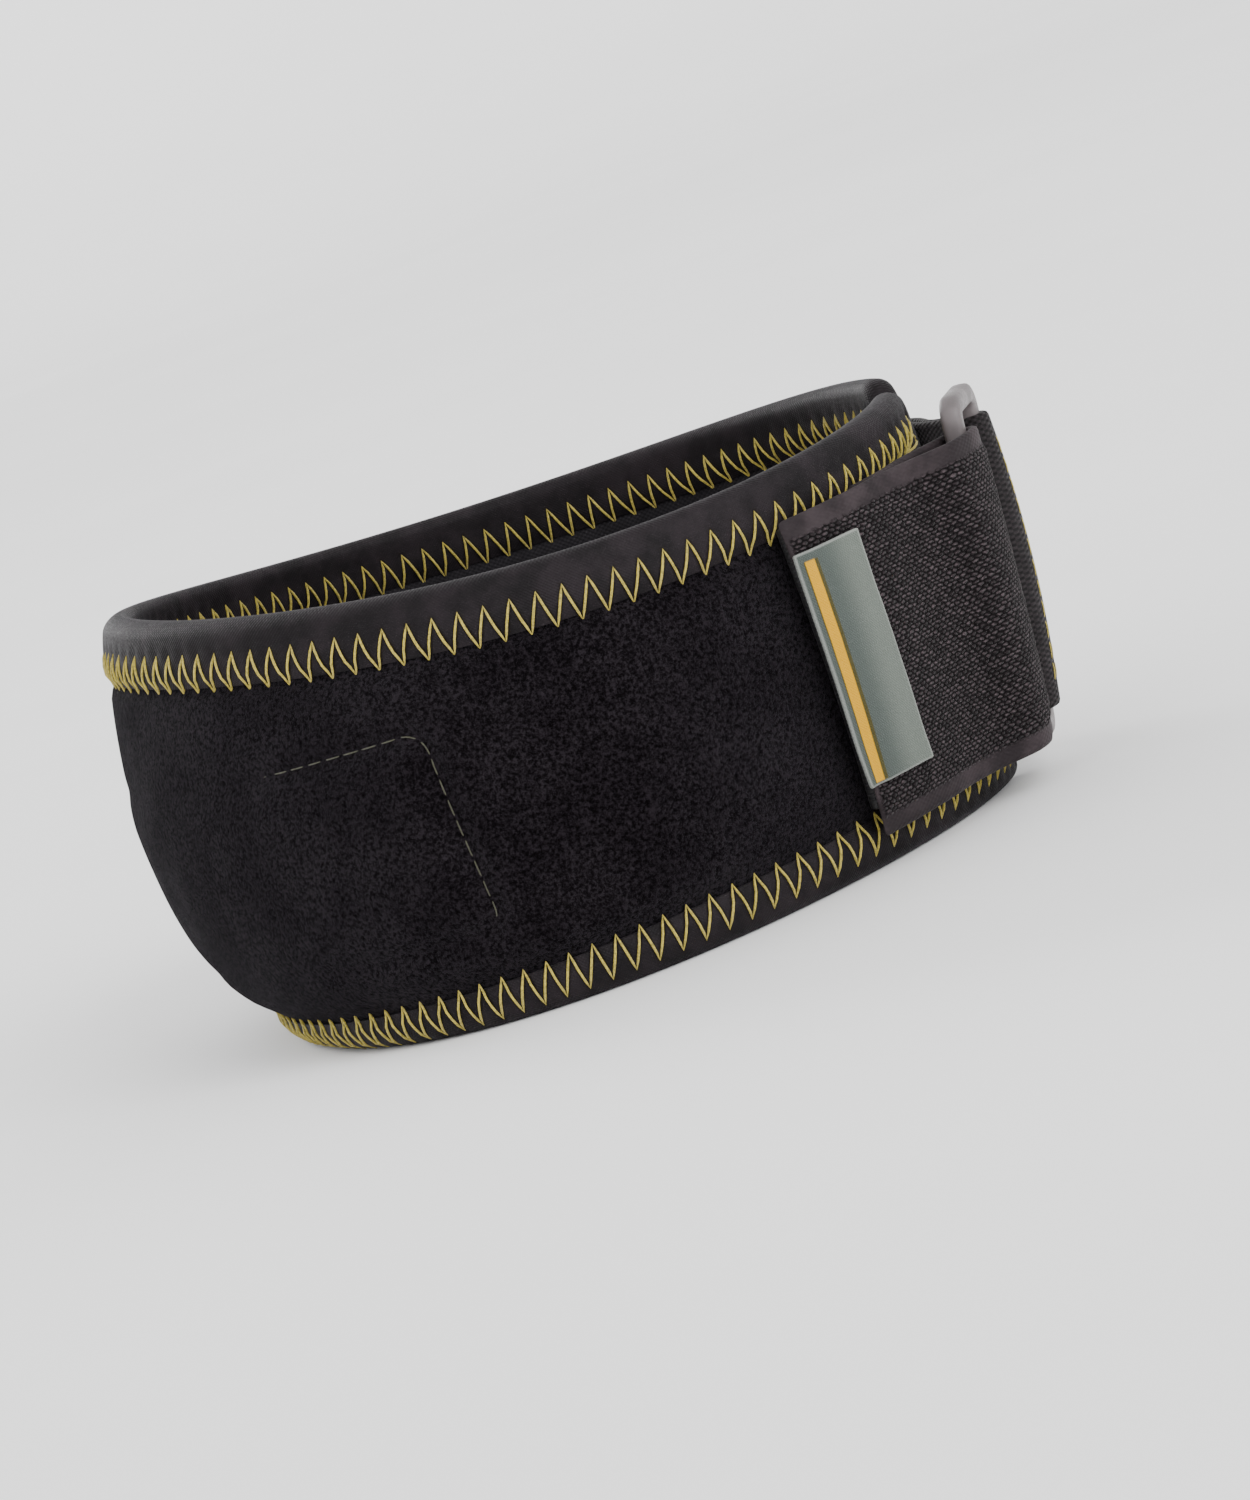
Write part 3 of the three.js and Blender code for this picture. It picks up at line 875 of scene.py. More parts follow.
def pile_webbing(settings, run_length):
    """Pile webbing: rows of short loops between two smooth selvedges, cut plain at both ends."""
    finishes = settings.finishes
    strap = settings.strap

    def make(tree):
        flat = pattern(tree)
        spot = split(tree, flat)
        ragged = node(tree, "ShaderNodeTexNoise", {"Vector": flat, "Scale": 1.1, "Detail": 2.0})
        from_low = difference(tree, spot["Y"], strap.low / MM)
        from_high = difference(tree, (strap.low + strap.width) / MM, spot["Y"])
        edge = math_node(tree, "MINIMUM", from_low, from_high)
        edge = math_node(tree, "ADD", edge, product(tree, ragged.outputs["Fac"], 1.2))
        pile = ramp(tree, edge, strap.selvedge / MM + 0.3, strap.selvedge / MM + 0.9)
        from_tip = difference(tree, run_length / MM, spot["X"])
        pile = product(tree, pile, ramp(tree, from_tip, 0.25, 0.8))
        tangle = node(tree, "ShaderNodeTexNoise", {"Vector": flat, "Scale": 0.9, "Detail": 2.0})
        tangled = node(tree, "ShaderNodeVectorMath",
                       {0: tangle.outputs["Color"], 1: (0.7, 0.5, 0), 2: flat},
                       operation="MULTIPLY_ADD").outputs[0]
        loops = place_group(tree, "Loops", {"Vector": tangled, "Along": 1.15, "Across": 0.52})
        loop_height = loops["Height"]
        # Painted highlights on the tops of the loops, stronger on some loops than others.
        bright = product(tree, loop_height, ramp(tree, loops["Chance"], 0.0, 1.0, 0.25, 1.0))
        nap = nap_of(tree, 0.1, 1.4)
        bright = product(tree, bright, ramp(tree, nap["Nap"], 0.1, 0.9, 0.5, 1.2))
        cloth = blend_colour(tree, bright, finishes.pile, finishes.pile_fleck)
        weave = weave_of(tree, 1.1, 0.7)
        smooth_edge = blend_colour(tree, ramp(tree, nap["Patches"], 0, 1, 0.0, 0.35),
                                   finishes.selvedge, finishes.pile_fleck)
        base = blend_colour(tree, pile, smooth_edge, cloth)
        low_height = product(tree, weave["Height"], 0.12)
        height = node(tree, "ShaderNodeMix", {"Factor": pile, 2: low_height, 3: loop_height}).outputs[0]
        return base, ramp(tree, pile, 0, 1, 0.7, 0.95), height, 0.45 * MM
    return finish_with("pile webbing", make, 0.9, sheen=0.05, sheen_roughness=0.3, specular=0.1)


def moulded_plastic(finishes):
    """The ring's grey plastic, faintly mottled and scuffed."""
    def make(tree):
        nap = nap_of(tree, 0.22, 5.0)
        dark = shade(finishes.ring, 0.8)
        base = blend_colour(tree, nap["Patches"], dark, finishes.ring)
        return base, ramp(tree, nap["Patches"], 0, 1, 0.5, 0.36), nap["Nap"], 0.015 * MM
    return finish_with("moulded plastic", make, 0.42)


def spun_thread(name, base_colour):
    """Twisted thread, darker in patches of fine noise."""
    def make(tree):
        nap = nap_of(tree, 0.3, 3.0)
        dark = shade(base_colour, 0.45)
        base = blend_colour(tree, ramp(tree, nap["Nap"], 0.0, 0.7), dark, base_colour)
        return base, None, nap["Nap"], 0.12 * MM
    return finish_with(name, make, 0.55, sheen=0.2)


def hook_nylon(finishes):
    """Hook tape: rows of small stiff hooks on a plain ground."""
    def make(tree):
        flat = pattern(tree)
        hooks = node(tree, "ShaderNodeTexVoronoi", {"Vector": flat, "Scale": 1.4, "Randomness": 0.25},
                     feature="F1").outputs["Distance"]
        tall = ramp(tree, hooks, 0.1, 0.35, 1.0, 0.0)
        # Painted highlight: the raised hooks get a lighter copy of the tape's colour.
        light = shade(finishes.hook, 2.5)
        return blend_colour(tree, tall, finishes.hook, light), None, tall, 0.4 * MM
    return finish_with("hook nylon", make, 0.6)


LABEL_RIM = (0.32, 0.33, 0.31)


def label_satin(closure, finishes):
    """The woven label: fine satin with one golden stripe beside its tip-side edge."""
    strap = closure.strap
    edge = (closure.tip + strap.label_inset) / MM
    low = (closure.middle - strap.label_height / 2) / MM
    high = (closure.middle + strap.label_height / 2) / MM
    width = strap.label_width / MM

    def make(tree):
        flat = pattern(tree)
        spot = split(tree, flat)
        share_up = ramp_line(tree, spot["Y"], low, high)
        flare = strap.label_flare / MM
        left = math_node(tree, "MULTIPLY_ADD", share_up, flare, edge - flare)
        run = difference(tree, spot["X"], left)
        weave = weave_of(tree, 0.36, 0.5)
        nap = nap_of(tree, 0.14, 3.2)
        # Painted sheen: the half of the label away from its tip-side edge is lighter.
        ground = blend_colour(tree, ramp(tree, run, width * 0.35, width * 0.85),
                              finishes.label, finishes.label_light)
        # Painted shade: the threads that lie lower in the weave get a darker copy of the ground.
        dark = scaled(tree, ground, 0.72)
        ground = blend_colour(tree, weave["Over"], dark, ground)
        above = ramp(tree, spot["Y"], high - 1.5, high - 1.2, 1.0, 0.0)
        below = ramp(tree, spot["Y"], low + 0.3, low + 0.5)
        inside = product(tree, above, below)
        olive = product(tree, ramp(tree, run, 0.9, 1.05), ramp(tree, run, 2.85, 3.0, 1.0, 0.0))
        gold = product(tree, ramp(tree, run, 1.05, 1.2), ramp(tree, run, 2.35, 2.5, 1.0, 0.0))
        gold = product(tree, gold, inside)
        base = blend_colour(tree, product(tree, olive, inside), ground, finishes.stripe_edge)
        base = blend_colour(tree, gold, base, finishes.stripe)
        to_right = difference(tree, edge + width, spot["X"])
        rim = math_node(tree, "MINIMUM", math_node(tree, "MINIMUM", run, to_right),
                        math_node(tree, "MINIMUM", difference(tree, spot["Y"], low),
                                  difference(tree, high, spot["Y"])))
        light_rim = ramp(tree, rim, 0.1, 0.45, 0.5, 0.0)
        base = blend_colour(tree, light_rim, base, LABEL_RIM)
        height = math_node(tree, "ADD", product(tree, weave["Height"], 0.5),
                           product(tree, gold, 0.6))
        return base, ramp(tree, nap["Nap"], 0, 1, 0.5, 0.62), height, 0.14 * MM
    return finish_with("label satin", make, 0.55, sheen=0.05, sheen_roughness=0.3, specular=0.25)


def pale_floor(finishes):
    """The studio floor, with the faintest grain."""
    def make(tree):
        nap = nap_of(tree, 0.004, 0.5)
        lighter = [min(value * 1.02, 1) for value in finishes.floor]
        base = blend_colour(tree, nap["Patches"], finishes.floor, lighter)
        return base, None, nap["Nap"], 0.01 * MM
    return finish_with("pale floor", make, 0.9, specular=0.1)


# The soft band, its tape and its pad

SEAM_SLACK = 36 * MM
SEAM_TIGHT = 54 * MM
FURROW = 1.3 * MM
FRONT_REACH = 85 * MM
TUCK = 0.3 * MM


def pad_distance(settings, along, height):
    """How far outside the pad's outline a spot of the pattern lies, less than 0 inside."""
    band = settings.band
    over = abs(along) - band.pad_length / 2 + band.pad_corner
    rise = abs(height - band.pad_low - band.pad_height / 2) - band.pad_height / 2 + band.pad_corner
    outside = math.hypot(max(over, 0), max(rise, 0))
    return outside + min(max(over, rise), 0) - band.pad_corner


def seam_rest(along):
    """1 where the pad's seam lies slack at the front, 0 where it is drawn tight."""
    return smooth(SEAM_TIGHT, SEAM_SLACK, abs(along))


def tape_width(settings, along, height, top):
    """The binding is wider along the upper edge, and narrow along the lower one at the front."""
    band = settings.band
    low = band.tape_low - band.tape_front * hump(along, FRONT_REACH)
    return mix(low, band.tape_high, height / top)


def band_face(settings, border, along, height):
    """Depth of the velvet face: full between the seams, and drawn in by them."""
    band = settings.band
    inset = border.inset(along, height)
    tape = tape_width(settings, along, height, border.line.top(along))
    outside_pad = pad_distance(settings, along, height)
    under_tape = band.wall + band.tape_proud - band.tape_cloth - TUCK
    full = band.wall + 0.25 * MM * noise.noise(Vector((along, height, 0)) / (14 * MM))
    full += 0.5 * MM * smooth(1.5 * MM, -6 * MM, outside_pad)
    full -= 0.7 * MM * (1 - 0.7 * seam_rest(along)) * hump(outside_pad, FURROW)
    return mix(under_tape, full, smooth(tape - 0.6 * MM, tape + 3.2 * MM, inset))


def band_back(settings, border, along, height):
    """Depth of the lining: thin under the tape, and drawn in along the pad's seam."""
    band = settings.band
    inset = border.inset(along, height)
    tape = tape_width(settings, along, height, border.line.top(along))
    under_tape = band.tape_cloth + TUCK - band.tape_proud
    seam = 0.3 * MM * hump(pad_distance(settings, along, height), FURROW)
    return mix(under_tape, seam, smooth(tape - 0.6 * MM, tape + 2.2 * MM, inset))


def make_band(settings, line, border):
    """Velvet outside, lining inside, padded between."""
    band = settings.band
    radius = band.corner
    rim = band.tape_cloth + TUCK

    def place(run, rise):
        along = mix(border.start + rim, border.end - rim, run)
        over = max(border.start + radius - along, along - border.end + radius, 0)
        cut = radius - math.sqrt(max((radius - rim) ** 2 - over ** 2, 0))
        return along, mix(cut, line.top(along) - cut, rise)

    sheet = flat_sheet(400, 64, place, band.wall)
    keep_pattern(sheet)
    middle = band.wall / 2
    for face in sheet.faces:
        face.material_index = 0 if face.calc_center_median().z > middle else 1

    def wrap(along, height, depth):
        outer = band_face(settings, border, along, height)
        inner = band_back(settings, border, along, height)
        return line.point(along, height, mix(inner, outer, depth / band.wall))

    lay_round(sheet, wrap)
    finishes = settings.finishes
    return as_piece("velvet_band", sheet, [velvet(finishes), knit("lining knit", finishes.lining)],
                    ("band",))


class Tape:
    """The section of the folded binding, and where its faces lie."""

    ROUND = 8
    FACE = 10
    HIDDEN = 3

    def __init__(self, settings, border):
        band = settings.band
        self.border = border
        self.settings = settings
        self.cloth = band.tape_cloth
        self.outside = band.wall + band.tape_proud
        self.inside = -band.tape_proud
        self.turn = 1.7 * MM

    def width(self, spot):
        """Width of the tape at a spot of the border."""
        return tape_width(self.settings, spot[0], spot[1], self.border.line.top(spot[0]))

    def face(self, inset, width, side):
        """Depth of the tape's face on the outer side, 1, or the inner, -1."""
        middle = (self.outside + self.inside) / 2
        half = (self.outside - self.inside) / 2
        bulge = 0.45 * MM * math.sin(math.pi * min(max(inset / width, 0), 1)) ** 0.8
        pressed = 0.55 * MM * smooth(width - 1.8 * MM, width, inset)
        round_off = math.sqrt(max(1 - (1 - min(inset / self.turn, 1)) ** 2, 0))
        return middle + side * (half * round_off + bulge - pressed)

    def section(self, width):
        """Inset and side of each point of the section, once round."""
        insets = [width - (width - self.turn) * i / self.FACE for i in range(self.FACE)]
        turns = [self.turn * (1 - math.sin(math.pi / 2 * i / self.ROUND)) for i in range(self.ROUND)]
        under = [mix(self.cloth * 1.2, width, i / self.HIDDEN) for i in range(self.HIDDEN + 1)]
        inner = [(inset, -1, 0) for inset in insets + turns]
        outer = [(inset, 1, 0) for inset in [0] + turns[::-1] + insets[::-1]]
        back = [(inset, 1, self.cloth) for inset in under[::-1]]
        back += [(inset, -1, self.cloth) for inset in under]
        return inner + outer + back

    def place(self, run, inset, depth):
        """The place in the room of a spot beside the border."""
        along, height = self.border.inside(run, inset)
        return self.border.line.point(along, height, depth)


def make_binding(settings, line, border):
    """One tape folded over the whole border, held down by the zigzag."""
    tape = Tape(settings, border)
    stitches = settings.stitches
    count = round(border.length / stitches.pitch)
    pitch = border.length / count
    around = len(tape.section(8 * MM))
    sheet = bmesh.new()
    bmesh.ops.create_grid(sheet, x_segments=count * 4, y_segments=around, size=0.5)
    layer = sheet.loops.layers.uv.new("pattern")
    spots = {}
    for vert in sheet.verts:
        run = (vert.co.x + 0.5) * border.length
        step = round((vert.co.y + 0.5) * around) % around
        width = tape.width(border.spot(run))
        inset, side, sunk = tape.section(width)[step]
        depth = tape.face(inset, width, side) - side * sunk
        if not sunk:
            pull = hump((run + pitch / 2) % pitch - pitch / 2, 0.9 * MM)
            pull *= hump(inset - width + stitches.back, 1.1 * MM)
            depth -= side * 0.3 * MM * pull
        spots[vert.index] = (run / MM, (inset - width) / MM)
        vert.co = tape.place(run, inset, depth)
    for face in sheet.faces:
        for loop in face.loops:
            loop[layer].uv = spots[loop.vert.index]
    bmesh.ops.remove_doubles(sheet, verts=sheet.verts, dist=0.002 * MM)
    return as_piece("edge_tape", sheet, [binding_knit(settings)], ("edge_binding",))


STITCH_STEPS = 5


def make_zigzags(settings, border):
    """The zigzag seam on both faces, one continuous thread each."""
    tape = Tape(settings, border)
    stitches = settings.stitches
    radius = stitches.thread / 2
    count = round(border.length / stitches.pitch)
    pitch = border.length / count
    material = spun_thread("zigzag thread", settings.finishes.thread)
    for side, name in ((1, "zigzag_outside"), (-1, "zigzag_inside")):
        points = []
        for stitch in range(count):
            wander = 0.12 * MM * noise.noise(Vector((stitch * 0.7, settings.seed, side)))
            for start, end, direction in ((0, stitches.lean, 1), (stitches.lean, 1, -1)):
                for step in range(STITCH_STEPS):
                    part = step / STITCH_STEPS
                    run = (stitch + mix(start, end, part)) * pitch + wander
                    reach = part if direction > 0 else 1 - part
                    width = tape.width(border.spot(run))
                    inset = width - stitches.back + (stitches.back + stitches.over) * reach
                    sink = 0.5 * MM * (1 - math.sin(math.pi * part) ** 0.5)
                    face = tape.face(min(inset, width), width, side)
                    points.append(tape.place(run, inset, face + side * (radius * 0.75 - sink)))
        sew(name, [points], radius, material, closed=True)


def make_pad(settings, line):
    """The pad, filled by a short cloth simulation inside its seam."""
    band = settings.band
    strap = settings.strap
    corner = band.pad_corner

    def place(run, rise):
        along = mix(-band.pad_length / 2, band.pad_length / 2, run)
        over = max(abs(along) - band.pad_length / 2 + corner, 0)
        cut = corner - math.sqrt(max(corner ** 2 - over ** 2, 0))
        return along, band.pad_low + mix(cut, band.pad_height - cut, rise)

    def wrap(along, height, depth):
        inside = smooth(0, -4 * MM, pad_distance(settings, along, height))
        thick = band.pad_thickness * mix(0.25, 0.72, inside)
        return line.point(along, height, -strap.gap - 0.15 * MM - thick * depth / MM)

    sheet = flat_sheet(76, 26, place, 1 * MM)
    lay_round(sheet, wrap)
    bmesh.ops.recalc_face_normals(sheet, faces=sheet.faces[:])
    finishes = settings.finishes
    cover = knit("pad cover", finishes.pad, deep=0.14)
    pad = as_piece("pad_cushion", sheet, [cover], ("tendon_pad",))
    fill_with_cloth(pad, 1.3 * MM, 2.2 * MM)
    search, spots = band_spots(line)
    hold_behind(pad, search, spots, -strap.gap)
    add_pattern(pad, line, search, spots)
    finish_subdivision(pad)
    return pad


def fill_with_cloth(piece, voxel, cap):
    """Swells a closed piece with cloth pressure, no point farther than the cap."""
    remesh = piece.modifiers.new("even mesh", "REMESH")
    remesh.mode = "VOXEL"
    remesh.voxel_size = voxel
    apply_modifiers(piece)
    before = [vert.co.copy() for vert in piece.data.vertices]
    cloth = piece.modifiers.new("filling", "CLOTH")
    cloth.settings.use_pressure = True
    cloth.settings.uniform_pressure_force = 4
    cloth.settings.quality = 4
    cloth.settings.effector_weights.gravity = 0
    cloth.settings.tension_stiffness = 30
    cloth.settings.compression_stiffness = 30
    cloth.settings.bending_stiffness = 1
    cloth.collision_settings.use_collision = False
    scene = bpy.context.scene
    for step in range(1, 21):
        scene.frame_set(step)
    apply_modifiers(piece)
    scene.frame_set(1)
    for vert, start in zip(piece.data.vertices, before):
        move = vert.co - start
        if move.length > cap:
            vert.co = start + move.normalized() * cap


def apply_modifiers(piece):
    """Puts what the modifiers make into the mesh."""
    depsgraph = bpy.context.evaluated_depsgraph_get()
    mesh = bpy.data.meshes.new_from_object(piece.evaluated_get(depsgraph))
    old = piece.data
    mesh.name = old.name
    piece.modifiers.clear()
    piece.data = mesh
    bpy.data.meshes.remove(old)


def band_spots(line):
    """A search tree of spots on the band's inside, with their place on the pattern."""
    spots = []
    for column in range(-80, 81):
        for level in range(1, 60):
            along = column * MM
            height = level * MM
            here = line.point(along, height, 0)
            outward = (line.point(along, height, MM) - here).normalized()
            spots.append((here, outward, along, height))
    tree = kdtree.KDTree(len(spots))
    for index, spot in enumerate(spots):
        tree.insert(spot[0], index)
    tree.balance()
    return tree, spots


def hold_behind(piece, search, spots, limit):
    """Pushes back what reaches out into the band."""
    for vert in piece.data.vertices:
        here, outward, _, _ = spots[search.find(vert.co)[1]]
        depth = (vert.co - here).dot(outward)
        if depth > limit:
            vert.co -= outward * (depth - limit)


def add_pattern(piece, line, search, spots):
    """Gives a remeshed piece the pattern map, from the nearest spots of the band."""
    places = []
    for vert in piece.data.vertices:
        here, _, along, height = spots[search.find(vert.co)[1]]
        offset = vert.co - here
        run = (line.point(along + MM, height, 0) - here).normalized()
        places.append(((along + offset.dot(run)) / MM, (height + offset.z) / MM))
    layer = piece.data.uv_layers.new(name="pattern")
    for loop in piece.data.loops:
        layer.data[loop.index].uv = places[loop.vertex_index]


def finish_subdivision(piece):
    """One level of subdivision, in view and render alike."""
    subdivision = piece.modifiers.new("soft", "SUBSURF")
    subdivision.levels = 1
    subdivision.render_levels = 1
    apply_modifiers(piece)
    piece.data.polygons.foreach_set("use_smooth", [True] * len(piece.data.polygons))


# The webbing, ring, hook tape and label

def make_webbing(name, webbing, strap, columns, materials, replaces, pile, crown, droop=None):
    """A strip of webbing that bends by its crown and, with pile, swells between its selvedges.

    With a droop it also thins at its tip, and its lower selvedge hangs down.
    """
    depth = strap.thickness

    def place(run, rise):
        return run * webbing.length, strap.low + rise * strap.width

    sheet = flat_sheet(columns, 72, place, depth)
    soften_rim(sheet, depth)
    keep_pattern(sheet)

    def wrap(run, height, level):
        edge = min(height - strap.low, strap.low + strap.width - height)
        inside = smooth(strap.selvedge - 0.3 * MM, strap.selvedge + 0.9 * MM, edge)
        thick = mix(0.62, 1.0, inside) if pile else 0.7
        rise = (height - strap.low) / strap.width * 2 - 1
        rough = noise.noise(Vector((run, height, level * 3)) / (1.1 * MM))
        bulge = 0.12 * MM * rough * inside if pile else 0
        side = level / depth - 0.5
        bend = crown(run) * (0.4 - rise ** 2)
        if droop:
            tip = smooth(2.2 * MM, 0, webbing.length - run)
            thick *= 1 - 0.6 * tip
            bend -= 0.35 * MM * tip
            height -= droop(run) * (1 - rise) / 2
        return webbing.place(run, height, depth * side * thick + bulge * side * 2 + bend)

    lay_round(sheet, wrap)
    return as_piece(name, sheet, materials, replaces)


TURNED = 28 * MM


def strap_crown(run):
    """How far the strap's edges stand out, once it is back through the ring."""
    return -0.5 * MM * smooth(TURNED - 4 * MM, TURNED + 8 * MM, run)


def keeper_crown(run):
    """How far the keeper's edges bend in, most where it leaves the ring."""
    return 3.2 * MM * hump(run - 26 * MM, 12 * MM)


def make_ring(settings, closure):
    """The moulded ring: a rounded bar once round a rounded rectangle."""
    strap = settings.strap
    half_bar = strap.ring_bar / 2
    half_width = strap.ring_width / 2 - half_bar
    half_height = closure.ring_height / 2 - half_bar
    radius = strap.ring_corner - half_bar
    straight = (half_width - radius, half_height - radius)
    corners = ((1, -1), (1, 1), (-1, 1), (-1, -1))
    path = []
    for number, (side, level) in enumerate(corners):
        centre = Vector((side * straight[0], level * straight[1], 0))
        for i in range(9):
            turn = math.pi / 2 * (number - 1 + i / 8)
            normal = Vector((math.cos(turn), math.sin(turn), 0))
            path.append((centre + normal * radius, normal))
        ahead = corners[(number + 1) % 4]
        goal = Vector((ahead[0] * straight[0], ahead[1] * straight[1], 0)) + normal * radius
        start = path[-1][0]
        path += [(start.lerp(goal, i / 12), normal) for i in range(1, 12)]
    around = 20
    up = closure.up.normalized()
    basis = Matrix((closure.across, up, closure.across.cross(up))).transposed()
    ring = bmesh.new()
    bmesh.ops.create_grid(ring, x_segments=len(path), y_segments=around, size=0.5)
    for vert in ring.verts:
        middle, normal = path[round((vert.co.x + 0.5) * len(path)) % len(path)]
        turn = math.tau * (vert.co.y + 0.5)
        cos = math.cos(turn)
        sin = math.sin(turn)
        width = math.copysign(abs(cos) ** 0.6, cos) * half_bar
        depth = math.copysign(abs(sin) ** 0.6, sin) * half_bar
        vert.co = closure.ring_place + basis @ (middle + normal * width + Vector((0, 0, depth)))
    bmesh.ops.remove_doubles(ring, verts=ring.verts, dist=0.002 * MM)
    bmesh.ops.recalc_face_normals(ring, faces=ring.faces[:])
    plastic = moulded_plastic(settings.finishes)
    return as_piece("ring_moulded", ring, [plastic], ("buckle_ring",))


def make_hook_tape(settings, line, closure):
    """The hook tape that holds the strap's tip, between the strap and the band."""
    strap = settings.strap
    inset = strap.hook_inset
    start = closure.tip + inset
    end = closure.start - strap.gap - inset
    low = strap.low + inset
    inside = closure.first_layer - strap.thickness / 2

    def place(run, rise):
        return mix(start, end, run), low + rise * (strap.width - 2 * inset)

    sheet = flat_sheet(24, 60, place, strap.thickness)
    soften_rim(sheet, strap.thickness)
    keep_pattern(sheet)
    lay_round(sheet, lambda along, height, depth: line.point(along, height, inside + depth))
    return as_piece("hook_tape", sheet, [hook_nylon(settings.finishes)], ("hook_tab",))


def make_label(settings, line, closure):
    """The woven label, lifting a little at its corners."""
    strap = settings.strap
    start = closure.tip + strap.label_inset
    low = closure.middle - strap.label_height / 2
    inside = closure.second_layer + strap.thickness / 2 + strap.gap * 0.4

    def place(run, rise):
        wider = strap.label_flare * (1 - rise)
        return start - wider + run * (strap.label_width + wider), low + rise * strap.label_height

    sheet = flat_sheet(30, 96, place, strap.label_thickness)
    soften_rim(sheet, strap.label_thickness)
    keep_pattern(sheet)

    def wrap(along, height, depth):
        across = abs((along - start) / strap.label_width * 2 - 1)
        rise = abs((height - low) / strap.label_height * 2 - 1)
        lift = 0.35 * MM * (across * rise) ** 4 - 0.7 * MM * smooth(2.4 * MM, 0, along - closure.tip)
        ripple = 0.08 * MM * noise.noise(Vector((along, height, 5 * MM)) / (5 * MM))
        return line.point(along, height, inside + depth + lift + ripple)

    lay_round(sheet, wrap)
    satin = label_satin(closure, settings.finishes)
    return as_piece("woven_label", sheet, [satin], ("label",))


# Straight seams

def stitched(points, stitch, space):
    """Cuts a line of points into stitches that dip at both ends."""
    lengths = running_lengths([place for place, _ in points])

    def at(run):
        index, part = locate(lengths, run)
        place = points[index][0].lerp(points[index + 1][0], part)
        return place, points[index][1].lerp(points[index + 1][1], part)

    count = max(int(lengths[-1] / (stitch + space)), 1)
    step = lengths[-1] / count
    runs = []
    for number in range(count):
        run = []
        for i in range(6):
            place, outward = at(number * step + (step - space) * i / 5)
            sink = 0.2 * MM * (1 - math.sin(math.pi * i / 5) ** 0.5)
            run.append(place - outward * sink)
        runs.append(run)
    return runs


def pad_outline(settings):
    """The pad's outline on the flat pattern, once round."""
    band = settings.band
    corner = band.pad_corner
    half_length = band.pad_length / 2 - corner
    half_height = band.pad_height / 2 - corner
    middle = band.pad_low + band.pad_height / 2
    spots = []
    for number, (side, level) in enumerate(((1, -1), (1, 1), (-1, 1), (-1, -1))):
        for i in range(10):
            turn = math.pi / 2 * (number - 1 + i / 9)
            spots.append((side * half_length + corner * math.cos(turn),
                          middle + level * half_height + corner * math.sin(turn)))
    spots.append(spots[0])
    even = []
    for first, second in zip(spots, spots[1:]):
        pieces = max(round(math.dist(first, second) / MM), 1)
        for i in range(pieces):
            even.append((mix(first[0], second[0], i / pieces), mix(first[1], second[1], i / pieces)))
    even.append(spots[0])
    return even


def make_pad_seam(settings, line, border):
    """The quiet seam that holds the pad, on the velvet and on the lining."""
    stitches = settings.stitches
    material = spun_thread("quiet thread", settings.finishes.quiet_thread)
    runs = []
    for side in (1, -1):
        points = []
        for along, height in pad_outline(settings):
            depth = (band_face if side > 0 else band_back)(settings, border, along, height)
            hidden = seam_rest(along) + 0.9 * smooth(2 * MM, 0, height - settings.band.pad_low)
            depth += side * (stitches.fine_thread * 0.4 - 0.3 * MM * hidden)
            place = line.point(along, height, depth)
            outward = (line.point(along, height, depth + side * MM) - place).normalized()
            points.append((place, outward))
        runs += stitched(points, stitches.stitch, stitches.stitch_gap)
    return sew("pad_seam", runs, stitches.fine_thread / 2, material)


BOX_SEAM = (20.5 * MM, 31.5 * MM)
START_SEAM = (2 * MM, 7 * MM)
FOLD_SEAM = (37 * MM, 38.6 * MM)
ROW_INSET = 3.5 * MM


def seam_points(place, steps):
    """Spots of a straight seam, each with its way outward. place takes a share and a lift."""
    points = []
    for i in range(steps + 1):
        spot = place(i / steps, 0)
        points.append((spot, (place(i / steps, MM) - spot).normalized()))
    return points


def make_webbing_seams(settings, line, closure):
    """Rows that hold the keeper and the strap's start to the band."""
    stitches = settings.stitches
    strap = settings.strap
    material = spun_thread("zigzag thread", settings.finishes.thread)
    low = strap.low + ROW_INSET
    high = strap.low + strap.width - ROW_INSET
    radius = stitches.fine_thread / 2
    keeper = closure.second_layer + strap.thickness * 0.45 + radius * 0.6
    anchor = closure.first_layer + strap.thickness * 0.5 + radius * 0.6
    loop = closure.keeper_line()

    def upright(along, offset):
        return lambda part, lift: line.point(along, mix(low, high, part), offset + lift)

    def level(height):
        alongs = [strap.ring_along + reach for reach in BOX_SEAM]
        return lambda part, lift: line.point(mix(*alongs, part), height, keeper + lift)

    def folded(run):
        def place(part, lift):
            height = mix(low, high, part)
            bend = keeper_crown(run) * (0.4 - ((height - closure.middle) * 2 / strap.width) ** 2)
            return loop.place(run, height, strap.thickness * 0.35 + bend + radius * 0.6 + lift)
        return place

    rows = [(upright(strap.ring_along + reach, keeper), 40) for reach in BOX_SEAM]
    rows += [(upright(closure.start + reach, anchor), 40) for reach in START_SEAM]
    rows += [(level(height), 20) for height in (low, high)]
    rows += [(folded(run), 40) for run in FOLD_SEAM]
    runs = []
    for place, steps in rows:
        runs += stitched(seam_points(place, steps), stitches.stitch, stitches.stitch_gap)
    return sew("webbing_seams", runs, radius, material)


# Operators, one for each piece or group of like pieces

def workshop(context):
    """Settings, band line, border and closure, made afresh for a piece."""
    settings = context.scene.patella_strap
    line = BandLine(settings)
    return settings, line, Border(line, settings), Closure(line, settings)


class PATELLA_OT_band(Operator):
    """Make the velvet band with its lining"""

    bl_idname = "patella.band"
    bl_label = "Velvet band"

    def execute(self, context):
        settings, line, border, _ = workshop(context)
        make_band(settings, line, border)
        return {"FINISHED"}


class PATELLA_OT_binding(Operator):
    """Make the tape folded over the band's edge"""

    bl_idname = "patella.binding"
    bl_label = "Edge binding"

    def execute(self, context):
        settings, line, border, _ = workshop(context)
        make_binding(settings, line, border)
        return {"FINISHED"}


